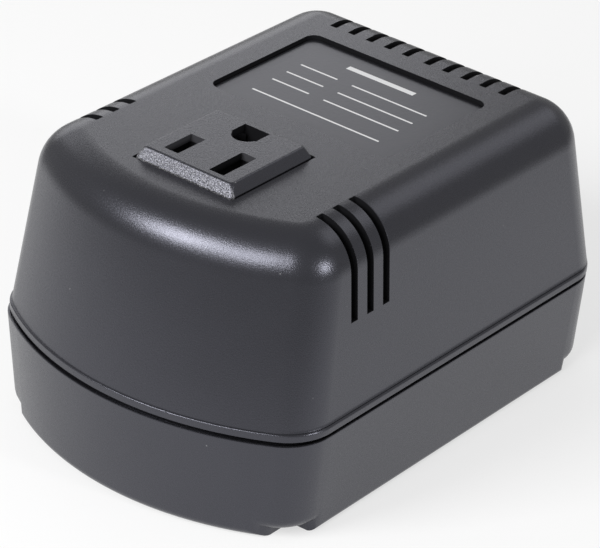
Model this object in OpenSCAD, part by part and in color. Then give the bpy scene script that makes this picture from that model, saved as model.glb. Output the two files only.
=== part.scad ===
// Travel voltage converter: a step-down transformer in a two-part moulded case with a
// three-pin outlet in its top. Millimetres, +Z up. The origin is on the floor under the
// middle of the case, and the bowed front of the case faces -Y.

/* [Case] */
// Width of the case at its parting edge
body_w = 83.7; // [74:0.1:100]
// Length of the case from the front bow to the rear wall
body_l = 116.6; // [104:0.1:140]
// Height of the case from the foot rails to the top face
body_h = 66; // [60:0.5:84]
// Height of the base tray's upper edge
base_h = 23.9; // [21:0.1:30]
// Radius of the bowed front at the parting edge
front_arc_r = 69.6; // [58:0.2:120]
// Radius of the two front corners in plan
front_corner_r = 12.1; // [10.8:0.1:16]
// Radius of the two rear corners in plan
rear_corner_r = 10.5; // [10.4:0.1:16]
// Draft of the base tray's front and side walls, in degrees
base_draft = 4.9; // [1:0.1:8]
// Radius of the base tray's lower outer edge
base_edge_r = 1.5; // [0.6:0.1:1.9]
// Wall of the base tray
base_wall = 3.4; // [3.1:0.1:4.4]
// Floor of the base tray
floor_t = 2.5; // [1.8:0.1:4]

/* [Cover] */
// Visible gap between the base tray and the cover
parting_gap = 0.7; // [0.3:0.1:1.5]
// Height of the raised band round the cover's lower edge
band_h = 2.4; // [1.6:0.1:4]
// How far the band stands out from the cover's wall
band_step = 0.6; // [0.3:0.1:1]
// How far the base tray stands out past the band at the sides and rear
ledge_side = 0.1; // [0:0.05:0.5]
// How far the base tray stands out past the band at the front
ledge_front = 0.5; // [0:0.05:0.8]
// Draft of the cover's side walls, in degrees
side_draft = 4.5; // [1:0.1:6]
// Draft of the cover's front wall, in degrees
front_draft = 9.7; // [4:0.1:12]
// Draft of the cover's rear wall, in degrees
rear_draft = 11.3; // [4:0.1:13]
// Radius of the cover's top edge
top_fillet = 10; // [6:0.1:10.4]
// Wall of the cover
cover_wall = 2.4; // [1.8:0.1:3]

/* [Label] */
// Width of the label recess
label_w = 47.8; // [36:0.1:52]
// Length of the label recess
label_l = 35.1; // [24:0.1:36]
// Distance from the blade line to the recess's front rim
label_front = 27.8; // [26:0.1:30]
// Depth of the label recess
label_depth = 1.2; // [0.6:0.1:1.6]
// Corner radius of the label recess
label_r = 2.5; // [1:0.1:5]
// Thickness of the label
label_t = 0.3; // [0.15:0.05:0.5]

/* [Vents] */
// Number of vents on each side
side_vent_n = 3; // [1:1:3]
// Distance between side vents
side_vent_pitch = 5.08; // [4:0.02:5.4]
// Width of a side vent
side_vent_w = 2.1; // [1:0.1:3]
// Distance from the middle of the case to a side vent's inner end
side_vent_x = 29.1; // [26:0.1:31]
// Height of a side vent's lower end below the top face
side_vent_drop = 20; // [12:0.5:26]
// Number of vents in each rear group
rear_vent_n = 5; // [2:1:5]
// Distance between rear vents
rear_vent_pitch = 4.98; // [4:0.02:5.2]
// Width of a rear vent
rear_vent_w = 1.7; // [0.8:0.1:2.4]
// Distance between the middles of the two inner rear vents
rear_vent_gap = 5.9; // [4:0.1:7]
// Distance from the rear edge to a rear vent's front end
rear_vent_reach = 18.6; // [15:0.1:20]
// Height of a rear vent's lower end below the top face
rear_vent_drop = 16; // [12:0.5:20]

/* [Outlet] */
// Distance from the front bow to the line of the blade slots
outlet_front = 29.3; // [27:0.1:32]
// Width of the outlet's raised face
outlet_w = 23.2; // [22:0.1:25]
// Length of the outlet's raised face
outlet_l = 22.95; // [22.2:0.05:24]
// Distance from the blade line to the face's front edge
outlet_lead = 6.35; // [5.8:0.05:6.8]
// Height of the raised face above the cover
outlet_rise = 2.55; // [1.5:0.05:4]
// How far the bevel spreads from the face to the cover
outlet_bevel = 1.25; // [0.5:0.05:1.6]
// Thickness of the outlet's face
outlet_face_t = 1.6; // [1:0.1:1.8]
// Distance between the two blade slots
blade_pitch = 12.7; // [12.4:0.1:13]
// Width of a blade slot
slot_w = 3.9; // [2.4:0.1:4.2]
// Length of the line slot
hot_slot_l = 8.2; // [7:0.1:8.6]
// Length of the neutral slot
neutral_slot_l = 10.15; // [8.6:0.05:10.6]
// How far the neutral slot sits behind the blade line
neutral_shift = 0.3; // [0:0.05:0.4]
// Distance from the blade line to the earth hole
earth_back = 11.9; // [11.7:0.1:12.1]
// Radius of the earth hole's round side
earth_r = 3.4; // [2.6:0.1:3.5]
// Distance from the earth hole's centre to its flat side
earth_flat = 3.58; // [3:0.02:3.6]
// Clearance between the outlet and the cover
outlet_clear = 0.2; // [0.1:0.05:0.4]
// Thickness of the contact leaves
leaf_t = 0.6; // [0.4:0.05:0.8]
// Gap between the two leaves of a contact
leaf_gap = 1.7; // [1.3:0.05:1.8]

/* [Transformer] */
// Room left above the core
core_top_gap = 1.6; // [1:0.1:4]
// Room left beside the core's upper corners
core_side_gap = 1.6; // [1:0.1:4]
// Room left between the outlet and the coil
coil_front_gap = 6; // [5:0.1:9]
// Room left between the coil and the rear wall
coil_rear_gap = 2.9; // [2:0.1:6]
// Wall of the coil former
former_wall = 1.2; // [0.8:0.1:1.6]
// Thickness of the former's flanges
flange_t = 1.5; // [1:0.1:2]
// Thickness of the tape round each winding
tape_t = 0.3; // [0.2:0.05:0.5]
// Thickness of the mounting brackets
bracket_t = 1.5; // [1:0.1:2]
// Width of a bracket's foot
foot_w = 10; // [8:0.5:12]
// Length of a bracket's foot
foot_l = 6.4; // [6:0.1:6.6]
// Height of the posts under the brackets
foot_h = 1.5; // [1:0.1:3]
// Shank diameter of the core bolts
core_bolt_d = 3.5; // [3:0.1:4]

/* [Fasteners] */
// Shank diameter of the case screws
case_screw_d = 3.5; // [3:0.1:4]
// Outside diameter of the cover's screw posts
post_d = 7; // [6:0.1:8.4]
// Outside diameter of the base tray's screw tubes
tube_d = 9.6; // [9.2:0.1:11]
// Distance from the case's side to the screws
post_side = 12.85; // [12:0.05:15]
// Distance from the front bow to the front screws
post_front = 18.3; // [17:0.1:20]
// Distance from the rear wall to the rear screws
post_rear = 11; // [10.2:0.1:12]
// Shank diameter of the small screws
small_screw_d = 2.9; // [2.5:0.1:3]

/* [Mains side] */
// Diameter of the hole through the cord bush
cord_hole_d = 6.8; // [5:0.1:7.4]
// Diameter of the cord bush in the wall
bush_d = 11; // [9.4:0.1:11.6]
// Height of the cord bush above the floor
bush_z = 13; // [12:0.1:14]
// Width of the terminal block
block_w = 11; // [10:0.1:12]
// Depth of the terminal block
block_d = 9; // [8:0.1:9.6]
// Height of the terminal block
block_h = 10; // [8:0.1:10.5]
// Diameter of the internal leads
lead_d = 1.8; // [1:0.1:2]

/* [Feet] */
// Height of the foot rails
rail_h = 2; // [1.5:0.1:3]
// Width of the foot rails
rail_w = 5; // [4:0.1:6.5]
// Distance from the front bow to the front ends of the side rails
side_rail_front = 19.7; // [19.2:0.1:26]
// Distance from the rear wall to the rear ends of the side rails
side_rail_rear = 8.4; // [7.5:0.1:15]
// Half the length of the front rail
front_rail_x = 33.9; // [28:0.1:34.2]
// Half the length of the rear rail
rear_rail_x = 29.6; // [22:0.1:30]

/* [Hidden] */
$fn = 48;

// Thin slice, overrun of a cut, and the usual assembly clearance
thin = 0.01;
over = 1;
play = 0.1;

// Case outline
half_w = body_w / 2;
half_l = body_l / 2;
arc_y = front_arc_r - half_l;
band_z = base_h + parting_gap;
band_top = band_z + band_h;
arc_steps = 14;
corner_steps = 8;
fillet_steps = 9;

// Tongue and rebate at the parting edge, measured in from the band's face
rebate_wall = 1.2;
rebate_in = band_step + rebate_wall;
rebate_h = 2;
tongue_in = rebate_in + 0.2;
tongue_t = 0.9;
tongue_top = band_z + rebate_h - 0.4;

// Heights inside the case
floor_z = rail_h + floor_t;
lid_z = body_h - cover_wall;
pad_t = 2.2;
pad_z = body_h - label_depth - pad_t;
tube_top = base_h - 3.9;
head_seat = floor_z + 3.5;

// Outlet stack under the cover
blade_y = outlet_front - half_l;
outlet_front_y = blade_y - outlet_lead;
outlet_y = outlet_front_y + outlet_l / 2;
earth_y = blade_y + earth_back;
collar_w = outlet_w + 2 * outlet_bevel;
collar_l = outlet_l + 2 * outlet_bevel;
flange_lip = 2;
outlet_flange_t = 2;
well_wall = 1.9;
well_w = outlet_w - 2 * well_wall;
well_l = outlet_l - 2 * well_wall;
seat_z = lid_z - outlet_flange_t;
well_top = body_h + outlet_rise - outlet_face_t;
carrier_drop = 13.6;
carrier_z = seat_z - carrier_drop;
carrier_floor = 2;
chamber_z = carrier_z + carrier_floor;
carrier_w = collar_w + 1.4;
carrier_l = collar_l - 0.4;
chamber_gap = 0.3;
ear_t = 2.6;
ear_l = 8;
boss_drop = 4.8;
boss_x = carrier_w / 2 + small_screw_d / 2 + 4.4;
ear_z = lid_z - boss_drop - ear_t;
boss_d = 7;
leaf_top = seat_z + 2.4;
earth_leaf_top = seat_z - play;
hot_leaf_w = hot_slot_l - 1.2;
neutral_leaf_w = neutral_slot_l - 1.2;
tail_w = 3;
tail_drop = 4;
tail_z = carrier_z - tail_drop;
earth_bore = 4.9;
earth_tail_y = earth_y + earth_bore / 2;

// Rear wall and the terminal block beside it
rear_in = half_l - base_wall;
block_y = rear_in - 0.9 - block_d / 2;
foot_gap = 0.2;

// Transformer, the largest scrapless core that the case takes
core_z = floor_z + foot_h;
core_top_limit = pad_z - core_top_gap;
core_half_room = cover_inner_half(core_top_limit) - core_side_gap;
lam = min(core_half_room / 3, (core_top_limit - core_z) / 5);
core_half = 3 * lam;
yoke_top = core_z + lam;
window_top = core_z + 4 * lam;
core_top = core_z + 5 * lam;
leg_gap = 0.3;
window_gap = 0.3;
flange_over = 0.2;
build = lam - leg_gap - former_wall - tape_t - flange_over - window_gap;
coil_front = outlet_y + carrier_l / 2 + coil_front_gap;
coil_rear = cover_inner_rear(window_top + over) - coil_rear_gap;
coil_y = (coil_rear + coil_front) / 2;
coil_side = flange_over + tape_t + build + former_wall + leg_gap;
foot_room = block_y - block_d / 2 - foot_gap - foot_l - bracket_t - coil_y;
stack_half = min((coil_rear - coil_front) / 2 - coil_side, foot_room);
coil_half = stack_half + coil_side;
former_x = lam + leg_gap;
former_y = stack_half + leg_gap;
wind_x = former_x + former_wall;
wind_y = former_y + former_wall;
tape_y = coil_half - flange_over - tape_t;
low_flange_z = yoke_top + 0.2;
top_flange_z = window_top - 0.2 - flange_t;
mid_flange_z = (low_flange_z + top_flange_z) / 2;
tag_w = 1;
tag_l = 5.4;
tag_edge = 1.2;
rear_tag_x = [-1.1 * lam, -0.36 * lam];
front_tag_x = [-0.73 * lam, 0.73 * lam];
front_tag_y = coil_y - coil_half + tag_edge;
rear_tag_y = coil_y + coil_half - tag_edge;
front_tag_z = top_flange_z + play;
rear_tag_z = low_flange_z + flange_t - play - tag_l;
bolt_x = 2.5 * lam;
bolt_low_z = core_z + lam / 2;
bolt_high_z = core_top - lam / 2;
bolt_head_d = 6.4;
bolt_head_t = 2.2;
nut_d = 6.6;
nut_t = 2.6;
bracket_h = lam - 1;
foot_x = bolt_x - bolt_head_d / 2 - 2 - foot_w / 2;
foot_y = bracket_t + foot_l / 2;

// Small fasteners
small_head_d = 5.6;
small_head_t = 1.9;
case_head_d = 6.8;
case_head_t = 2.4;
case_grip = 12;

// Unit of the leads' bends
bend = lead_d / 0.9;

// Mains inlet and terminal block
bush_flange_d = bush_d + 4;
bush_flange_t = 1.5;
bush_set = 0.5;
bush_ring_t = 2;
block_x = bush_flange_d / 2 + 0.5 + block_w / 2;
block_top = floor_z + block_h;
block_pole = block_w / 4;
block_screw_d = 2.2;
clamp_screw_d = 2.6;
cutout_w = 11;
cutout_t = 3.5;
cutout_h = 11;
cutout_z = low_flange_z + flange_t + 1.3;
cutout_x = block_x;
cutout_y = coil_y + tape_y + tape_t + cutout_t / 2;

// Points of an arc about a centre, without its first point
function arc(c, r, a0, a1, n) =
    [for (i = [1:n]) let (a = a0 + (a1 - a0) * i / n) c + r * [cos(a), sin(a)]];

// Right half of the case outline: bowed front, side and rear, each moved in by its own inset
function half_plan(side, front, rear, round_in) =
    let (
        a = half_w - side,
        r = front_arc_r - front,
        y = half_l - rear,
        cf = max(front_corner_r - round_in, 0.4),
        cr = max(rear_corner_r - round_in, 0.4),
        fy = arc_y - sqrt(pow(r - cf, 2) - pow(a - cf, 2)),
        turn = atan2(fy - arc_y, a - cf)
    )
    concat(
        arc([0, arc_y], r, -90, turn, arc_steps),
        arc([a - cf, fy], cf, turn, 0, corner_steps),
        [[a, y - cr]],
        arc([a - cr, y - cr], cr, 0, 90, corner_steps)
    );

// Whole outline, with the left half mirrored from the right
function plan(side, front, rear, round_in) =
    let (h = half_plan(side, front, rear, round_in), n = len(h))
    concat([[0, arc_y - front_arc_r + front]], h, [for (i = [n - 1:-1:0]) [-h[i][0], h[i][1]]]);

// Inset of a drafted wall at a height, and of the rounded edge above it
function draft_in(z, z0, angle) = max(z - z0, 0) * tan(angle);
function edge_in(z, top, r, angle) =
    let (u = z - top + r)
    u <= r * sin(angle) ? 0 : r / cos(angle) - u * tan(angle) - sqrt(max(r * r - u * u, 0));

// Insets of the cover at a height: side, front, rear and corner
function cover_in(z, wall) =
    let (
        top = body_h - wall,
        r = top_fillet - wall,
        s = edge_in(z, top, r, side_draft),
        f = edge_in(z, top, r, front_draft),
        b = edge_in(z, top, r, rear_draft),
        step = band_step + wall
    )
    [
        ledge_side + step + draft_in(z, band_top, side_draft) + s,
        ledge_front + step + draft_in(z, band_top, front_draft) + f,
        ledge_side + step + draft_in(z, band_top, rear_draft) + b,
        band_step + wall + s
    ];
function cover_inner_half(z) = half_w - cover_in(z, cover_wall)[0];
function cover_inner_rear(z) = half_l - cover_in(z, cover_wall)[2];

// Insets of the base tray at a height
function base_in(z, wall) =
    let (d = (base_h - z) * tan(base_draft))
    [wall + d, wall + d, wall, wall + d / 2];

// Smooth route through hand-placed points, and a frame along it
function mix4(a, b, c, d, t) =
    0.5 * (2 * b + (c - a) * t + (2 * a - 5 * b + 4 * c - d) * t * t + (3 * b - a - 3 * c + d) * t * t * t);
function smooth_route(p, n) =
    let (m = len(p) - 1)
    concat(
        [for (i = [0:m - 1], k = [0:n - 1])
            mix4(p[max(i - 1, 0)], p[i], p[i + 1], p[min(i + 2, m)], k / n)],
        [p[m]]
    );
function along(p, i) =
    let (v = p[min(i + 1, len(p) - 1)] - p[max(i - 1, 0)])
    v / norm(v);
function across(t, ref) = let (v = cross(t, ref)) v / norm(v);

// Tube along a route, with a flat cap at each end
module lead(points, ref, d = lead_d, sides = 8) {
    route = smooth_route(points, 3);
    n = len(route);
    rings = [for (i = [0:n - 1])
        let (t = along(route, i), u = across(t, ref), v = cross(t, u))
        for (k = [0:sides - 1])
            route[i] + d / 2 * (cos(360 * k / sides) * u + sin(360 * k / sides) * v)];
    walls = [for (i = [0:n - 2], k = [0:sides - 1])
        let (a = i * sides + k, b = i * sides + (k + 1) % sides)
        each [[a, a + sides, b], [b, a + sides, b + sides]]];
    first = [for (k = [1:sides - 2]) [0, k, k + 1]];
    last = (n - 1) * sides;
    ends = [for (k = [1:sides - 2]) [last, last + k + 1, last + k]];
    polyhedron(rings, concat(walls, first, ends));
}

// Solid through rings of the case outline, each given as a height and its insets
module ring_form(rings) {
    outlines = [for (g = rings) plan(g[1][0], g[1][1], g[1][2], g[1][3])];
    n = len(outlines[0]);
    m = len(rings);
    points = [for (i = [0:m - 1], p = outlines[i]) [p[0], p[1], rings[i][0]]];
    walls = [for (i = [0:m - 2], k = [0:n - 1])
        let (a = i * n + k, b = i * n + (k + 1) % n)
        each [[a, a + n, b + n], [a, b + n, b]]];
    bottom = [for (k = [0:n - 1]) k];
    top = [for (k = [n - 1:-1:0]) (m - 1) * n + k];
    polyhedron(points, concat(walls, [bottom, top]));
}

// Rounded rectangle made of squares and circles
module round_rect(w, l, r) {
    square([w - 2 * r, l], center = true);
    square([w, l - 2 * r], center = true);
    for (sx = [-1, 1], sy = [-1, 1])
        translate([sx * (w / 2 - r), sy * (l / 2 - r)]) circle(r);
}

// Block centred in X and Y that stands on a height
module block(x, y, z, w, l, h) {
    translate([x - w / 2, y - l / 2, z]) cube([w, l, h]);
}

module rod(x, y, z, d, h) {
    translate([x, y, z]) cylinder(d = d, h = h);
}

// Rod that runs along +Y from a point
module rod_y(x, y, z, d, l) {
    translate([x, y, z]) rotate([-90, 0, 0]) cylinder(d = d, h = l);
}

// The four case screw positions
module at_case_screws() {
    for (sx = [-1, 1], y = [post_front - half_l, half_l - post_rear])
        translate([sx * (half_w - post_side), y, 0]) children();
}

module at_socket_screws() {
    for (sx = [-1, 1]) translate([sx * boss_x, outlet_y, 0]) children();
}

// The four bracket feet, with the foot's own +Y pointing away from the core
module at_feet() {
    for (sx = [-1, 1], sy = [-1, 1])
        translate([sx * foot_x, coil_y + sy * (stack_half + foot_y), 0]) children();
}

// Cover shell, outside or inside
module cover_form(wall, low) {
    top = body_h - wall;
    r = top_fillet - wall;
    first = min(side_draft, front_draft, rear_draft);
    heights = concat(
        [low, band_top],
        [for (i = [0:fillet_steps]) top - r + r * sin(first + (90 - first) * i / fillet_steps)]
    );
    ring_form([for (z = heights) [z, cover_in(z, wall)]]);
}

module cover_band() {
    edge = 0.3;
    face = [ledge_side, ledge_front, ledge_side, 0];
    rim = face + edge * [1, 1, 1, 1];
    ring_form([[band_z, face], [band_top - edge, face], [band_top, rim]]);
}

module cover_posts(low) {
    at_case_screws() rod(0, 0, low, post_d, body_h - low);
}

module rebate() {
    inset = [ledge_side, ledge_front, ledge_side, 0] + rebate_in * [1, 1, 1, 1];
    translate([0, 0, band_z - over])
        linear_extrude(rebate_h + over) polygon(plan(inset[0], inset[1], inset[2], inset[3]));
}

module label_area(grow, z, h) {
    translate([0, blade_y + label_front + label_l / 2, z])
        linear_extrude(h) round_rect(label_w + 2 * grow, label_l + 2 * grow, max(label_r + grow, 0.3));
}

module side_vents() {
    first_y = blade_y - 0.2;
    for (s = [-1, 1], i = [0:side_vent_n - 1])
        translate([
            s * (side_vent_x + half_w / 2),
            first_y + i * side_vent_pitch,
            body_h - side_vent_drop / 2 + over / 2
        ])
            cube([half_w, side_vent_w, side_vent_drop + over], center = true);
}

module rear_vents() {
    front = half_l - rear_vent_reach;
    for (s = [-1, 1], i = [0:rear_vent_n - 1])
        block(
            s * (rear_vent_gap / 2 + i * rear_vent_pitch), front + half_l / 2,
            body_h - rear_vent_drop, rear_vent_w, half_l, rear_vent_drop + over
        );
}

// Upper shell of the case
module top_cover() color([0.17, 0.17, 0.18]) {
    difference() {
        union() {
            cover_form(0, band_z);
            cover_band();
            at_case_screws() rod(0, 0, tube_top, post_d, body_h / 2 - tube_top);
        }
        difference() {
            union() {
                cover_form(cover_wall, band_z - over);
                rebate();
            }
            cover_posts(tube_top);
            at_socket_screws() rod(0, 0, lid_z - boss_drop, boss_d, boss_drop + over);
            label_area(2, pad_z, label_depth + pad_t);
        }
        at_case_screws() rod(0, 0, tube_top - over, case_screw_d + play, case_grip + over + play);
        at_socket_screws() rod(0, 0, lid_z - boss_drop - over, small_screw_d + play, boss_drop + over);
        block(
            0, outlet_y, lid_z - over, collar_w + 2 * outlet_clear, collar_l + 2 * outlet_clear,
            cover_wall + 2 * over
        );
        label_area(0, body_h - label_depth, label_depth + over);
        side_vents();
        rear_vents();
    }
}

// Plan of the foot rails: side, front and rear strips that run out past the wall
module rail_plan() {
    foot_in = base_h * tan(base_draft);
    side_x = half_w - foot_in - rail_w;
    y0 = side_rail_front - half_l;
    y1 = half_l - side_rail_rear;
    for (s = [0, 1]) mirror([s, 0]) translate([side_x, y0]) square([rail_w + 4 * over, y1 - y0]);
    translate([-rear_rail_x, half_l - rail_w]) square([2 * rear_rail_x, rail_w + over]);
    inner_r = front_arc_r - foot_in - rail_w;
    back_y = arc_y - sqrt(pow(inner_r, 2) - pow(front_rail_x, 2));
    difference() {
        translate([-front_rail_x, -half_l - over]) square([2 * front_rail_x, back_y + half_l + over]);
        translate([0, arc_y]) circle(inner_r, $fn = 96);
    }
}

module base_form() {
    steps = 4;
    edge = [for (i = [0:steps])
        let (a = 90 * i / steps, z = base_edge_r * (1 - cos(a)))
        [z, base_in(z, base_edge_r * (1 - sin(a)))]];
    ring_form(concat(edge, [[base_h, base_in(base_h, 0)]]));
}

module base_hollow() {
    ring_form([
        [floor_z, base_in(floor_z, base_wall)],
        [base_h, base_in(base_h, base_wall)],
        [base_h + 2 * over + rebate_h, base_in(base_h, base_wall)]
    ]);
}

module tongue() {
    outer = [ledge_side, ledge_front, ledge_side, 0] + tongue_in * [1, 1, 1, 1];
    inner = outer + tongue_t * [1, 1, 1, 1];
    translate([0, 0, base_h - over]) linear_extrude(tongue_top - base_h + over) difference() {
        polygon(plan(outer[0], outer[1], outer[2], outer[3]));
        polygon(plan(inner[0], inner[1], inner[2], inner[3]));
    }
}

// Lower shell of the case
module base_tray() color([0.16, 0.16, 0.17]) {
    difference() {
        union() {
            base_form();
            tongue();
        }
        difference() {
            base_hollow();
            at_case_screws() rod(0, 0, 0, tube_d, tube_top);
            at_feet() rod(0, 0, 0, foot_w - 1, core_z);
        }
        translate([0, 0, -over]) linear_extrude(rail_h + over) difference() {
            square(4 * half_l, center = true);
            rail_plan();
        }
        at_case_screws() {
            rod(0, 0, -over, case_screw_d + 0.4, base_h);
            rod(0, 0, -over, case_head_d + 0.6, head_seat + over);
        }
        at_feet() rod(0, 0, core_z - foot_h - floor_t + 0.6, small_screw_d + play, floor_t + foot_h);
        rod(block_x, block_y, rail_h + 0.6, block_screw_d + play, floor_t);
        rod_y(0, half_l - bush_flange_t - bush_set - play, bush_z, bush_flange_d + 2 * play, base_wall);
        rod_y(0, rear_in - over, bush_z, bush_d + 2 * play, base_wall + over);
    }
}

// Bare label in its recess
module rating_plate() color([0.12, 0.12, 0.13])
    label_area(-0.35, body_h - label_depth, label_t);

// Raised, bevelled face of the outlet
module socket_body() color([0.2, 0.2, 0.21]) {
    top = body_h + outlet_rise;
    difference() {
        union() {
            hull() {
                block(0, outlet_y, body_h, collar_w, collar_l, thin);
                block(0, outlet_y, top - thin, outlet_w, outlet_l, thin);
            }
            block(0, outlet_y, lid_z, collar_w, collar_l, body_h - lid_z + thin);
            block(
                0, outlet_y, seat_z, collar_w + 2 * flange_lip, collar_l + 2 * flange_lip, outlet_flange_t
            );
        }
        block(0, outlet_y, seat_z - over, well_w, well_l, well_top - seat_z + over);
        block(-blade_pitch / 2, blade_y, seat_z, slot_w, hot_slot_l, top - seat_z + over);
        block(
            blade_pitch / 2, blade_y + neutral_shift, seat_z, slot_w, neutral_slot_l, top - seat_z + over
        );
        rod(0, earth_y, seat_z, 2 * earth_r, top - seat_z + over);
        translate([-earth_r, earth_y, seat_z]) cube([2 * earth_r, earth_flat, top - seat_z + over]);
    }
}

// Insulating carrier behind the face, with a chamber for each contact
module contact_carrier() color([0.1, 0.1, 0.11]) {
    depth = well_top - chamber_z;
    through = 2 * over + carrier_floor;
    difference() {
        union() {
            block(0, outlet_y, carrier_z, carrier_w, carrier_l, carrier_drop);
            block(
                0, outlet_y, seat_z - over, well_w - 2 * play, well_l - 2 * play,
                well_top - seat_z + over - play
            );
            block(0, outlet_y, ear_z, 2 * boss_x + boss_d, ear_l, ear_t);
        }
        block(-blade_pitch / 2, blade_y, chamber_z, slot_w + 1, hot_slot_l + 1, depth);
        block(blade_pitch / 2, blade_y + neutral_shift, chamber_z, slot_w + 1, neutral_slot_l + 1, depth);
        rod(0, earth_y, chamber_z, 2 * earth_r + chamber_gap, depth);
        for (s = [-1, 1])
            block(s * blade_pitch / 2, blade_y, carrier_z - over, leaf_t + play, tail_w + play, through);
        block(0, earth_tail_y + leaf_t / 2, carrier_z - over, tail_w + play, leaf_t + play, through);
        at_socket_screws() rod(0, 0, ear_z - over, small_screw_d + 0.4, ear_t + 2 * over);
    }
}

// Blade contact: two leaves, the web that joins them and a tail for its lead
module blade_contact(x, y, w) {
    spread = leaf_gap + 2 * leaf_t;
    for (s = [-1, 1])
        block(x + s * (leaf_gap + leaf_t) / 2, y, chamber_z, leaf_t, w, leaf_top - chamber_z);
    block(x, y, chamber_z, spread, w, leaf_t);
    block(x, blade_y, tail_z, leaf_t, tail_w, chamber_z - tail_z + leaf_t);
}

module hot_contact() color([0.8, 0.65, 0.3])
    blade_contact(-blade_pitch / 2, blade_y, hot_leaf_w);

module neutral_contact() color([0.8, 0.65, 0.3])
    blade_contact(blade_pitch / 2, blade_y + neutral_shift, neutral_leaf_w);

// Earth contact: a slit sleeve with a tail
module ground_contact() color([0.8, 0.65, 0.3]) {
    slit = 1.2;
    h = earth_leaf_top - chamber_z;
    difference() {
        rod(0, earth_y, chamber_z, earth_bore + 2 * leaf_t, h);
        rod(0, earth_y, chamber_z - over, earth_bore, h + 2 * over);
        block(0, earth_y - earth_bore / 2, chamber_z - over, slit, earth_bore, h + 2 * over);
    }
    difference() {
        block(0, earth_tail_y + leaf_t / 2, tail_z, tail_w, leaf_t, chamber_z + over - tail_z);
        rod(0, earth_y, chamber_z - thin, earth_bore, 3 * over);
    }
}

// Pan-head screw that points up, with the underside of its head at a height
module screw_up(z, d, l, head_d, head_t) {
    rod(0, 0, z - head_t, head_d, head_t);
    rod(0, 0, z - thin, d, l + thin);
}

module socket_screws() color("silver")
    at_socket_screws() difference() {
        screw_up(ear_z, small_screw_d, ear_t + boss_drop - 0.4, small_head_d, small_head_t);
        block(0, 0, ear_z - small_head_t - over, 0.8, small_head_d - 1.6, over + 0.9);
        block(0, 0, ear_z - small_head_t - over, small_head_d - 1.6, 0.8, over + 0.9);
    }

module case_screws() color("silver")
    at_case_screws() difference() {
        screw_up(head_seat, case_screw_d, tube_top - head_seat + case_grip - 1, case_head_d, case_head_t);
        block(0, 0, head_seat - case_head_t - over, 1, case_head_d - 2, over + 1.2);
        block(0, 0, head_seat - case_head_t - over, case_head_d - 2, 1, over + 1.2);
    }

// Holes for the core bolts
module core_bores(low, high) {
    for (s = [-1, 1], z = [bolt_low_z, bolt_high_z])
        if (z > low && z < high)
            rod_y(s * bolt_x, coil_y - stack_half - over, z, core_bolt_d + 0.3, 2 * stack_half + 2 * over);
}

// Stack of E-shaped plates, open downwards
module e_laminations() color([0.45, 0.46, 0.5])
    difference() {
        block(0, coil_y, yoke_top, 2 * core_half, 2 * stack_half, core_top - yoke_top);
        for (s = [-1, 1])
            block(s * 1.5 * lam, coil_y, yoke_top - over, lam, 2 * stack_half + 2 * over, 3 * lam + over);
        core_bores(yoke_top, core_top);
    }

// Stack of straight plates that closes the core below
module i_laminations() color([0.45, 0.46, 0.5])
    difference() {
        block(0, coil_y, core_z, 2 * core_half, 2 * stack_half, lam);
        core_bores(core_z, yoke_top);
    }

module former_flange(z) {
    block(0, coil_y, z, 2 * (wind_x + build + tape_t + flange_over), 2 * coil_half, flange_t);
}

// Coil former: a square tube with three flanges
module coil_bobbin() color([0.93, 0.92, 0.88])
    difference() {
        union() {
            block(0, coil_y, low_flange_z, 2 * wind_x, 2 * wind_y, top_flange_z + flange_t - low_flange_z);
            former_flange(low_flange_z);
            former_flange(mid_flange_z);
            former_flange(top_flange_z);
        }
        block(0, coil_y, low_flange_z - over, 2 * former_x, 2 * former_y, 4 * lam);
        for (x = front_tag_x) block(x, front_tag_y, front_tag_z, tag_w + play, tag_w + play, tag_l);
        for (x = rear_tag_x)
            block(x, rear_tag_y, low_flange_z - over, tag_w + play, tag_w + play, over + flange_t - play);
    }

// Square ring round the former between two flanges
module coil_ring(low, high, inner, outer) {
    z = low + play;
    h = high - low - 2 * play;
    difference() {
        block(0, coil_y, z, 2 * (wind_x + outer), 2 * (wind_y + outer), h);
        block(0, coil_y, z - over, 2 * (wind_x + inner), 2 * (wind_y + inner), h + 2 * over);
    }
}

module primary_winding() color([0.72, 0.36, 0.16])
    coil_ring(low_flange_z + flange_t, mid_flange_z, 0, build);

module secondary_winding() color([0.72, 0.36, 0.16])
    coil_ring(mid_flange_z + flange_t, top_flange_z, 0, build);

module primary_tape() color([0.9, 0.75, 0.2])
    coil_ring(low_flange_z + flange_t, mid_flange_z, build, build + tape_t);

module secondary_tape() color([0.9, 0.75, 0.2])
    coil_ring(mid_flange_z + flange_t, top_flange_z, build, build + tape_t);

// Solder tags in the former's flanges
module bobbin_tags() color([0.85, 0.85, 0.82]) {
    for (x = front_tag_x) block(x, front_tag_y, front_tag_z, tag_w, tag_w, tag_l);
    for (x = rear_tag_x) block(x, rear_tag_y, rear_tag_z, tag_w, tag_w, tag_l);
}

// Angle bracket on one face of the core, with a foot at each end
module bracket(s) {
    face = coil_y + s * stack_half;
    reach = bracket_t + foot_l;
    difference() {
        union() {
            block(0, face + s * bracket_t / 2, core_z, 2 * core_half - 4, bracket_t, bracket_h);
            for (sx = [-1, 1])
                block(sx * foot_x, face + s * reach / 2, core_z, foot_w, reach, bracket_t);
        }
        for (sx = [-1, 1]) {
            rod_y(sx * bolt_x, face - 2 * bracket_t, bolt_low_z, core_bolt_d + 0.3, 4 * bracket_t);
            rod(sx * foot_x, face + s * foot_y, core_z - over, small_screw_d + 0.4, bracket_t + 2 * over);
        }
    }
}

module front_bracket() color([0.7, 0.7, 0.68]) bracket(-1);

module rear_bracket() color([0.7, 0.7, 0.68]) bracket(1);

// How far a core bolt's head and nut stand off the core, past the brackets on the lower pair
function bolt_seat(z) = z < yoke_top ? bracket_t : 0;

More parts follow.
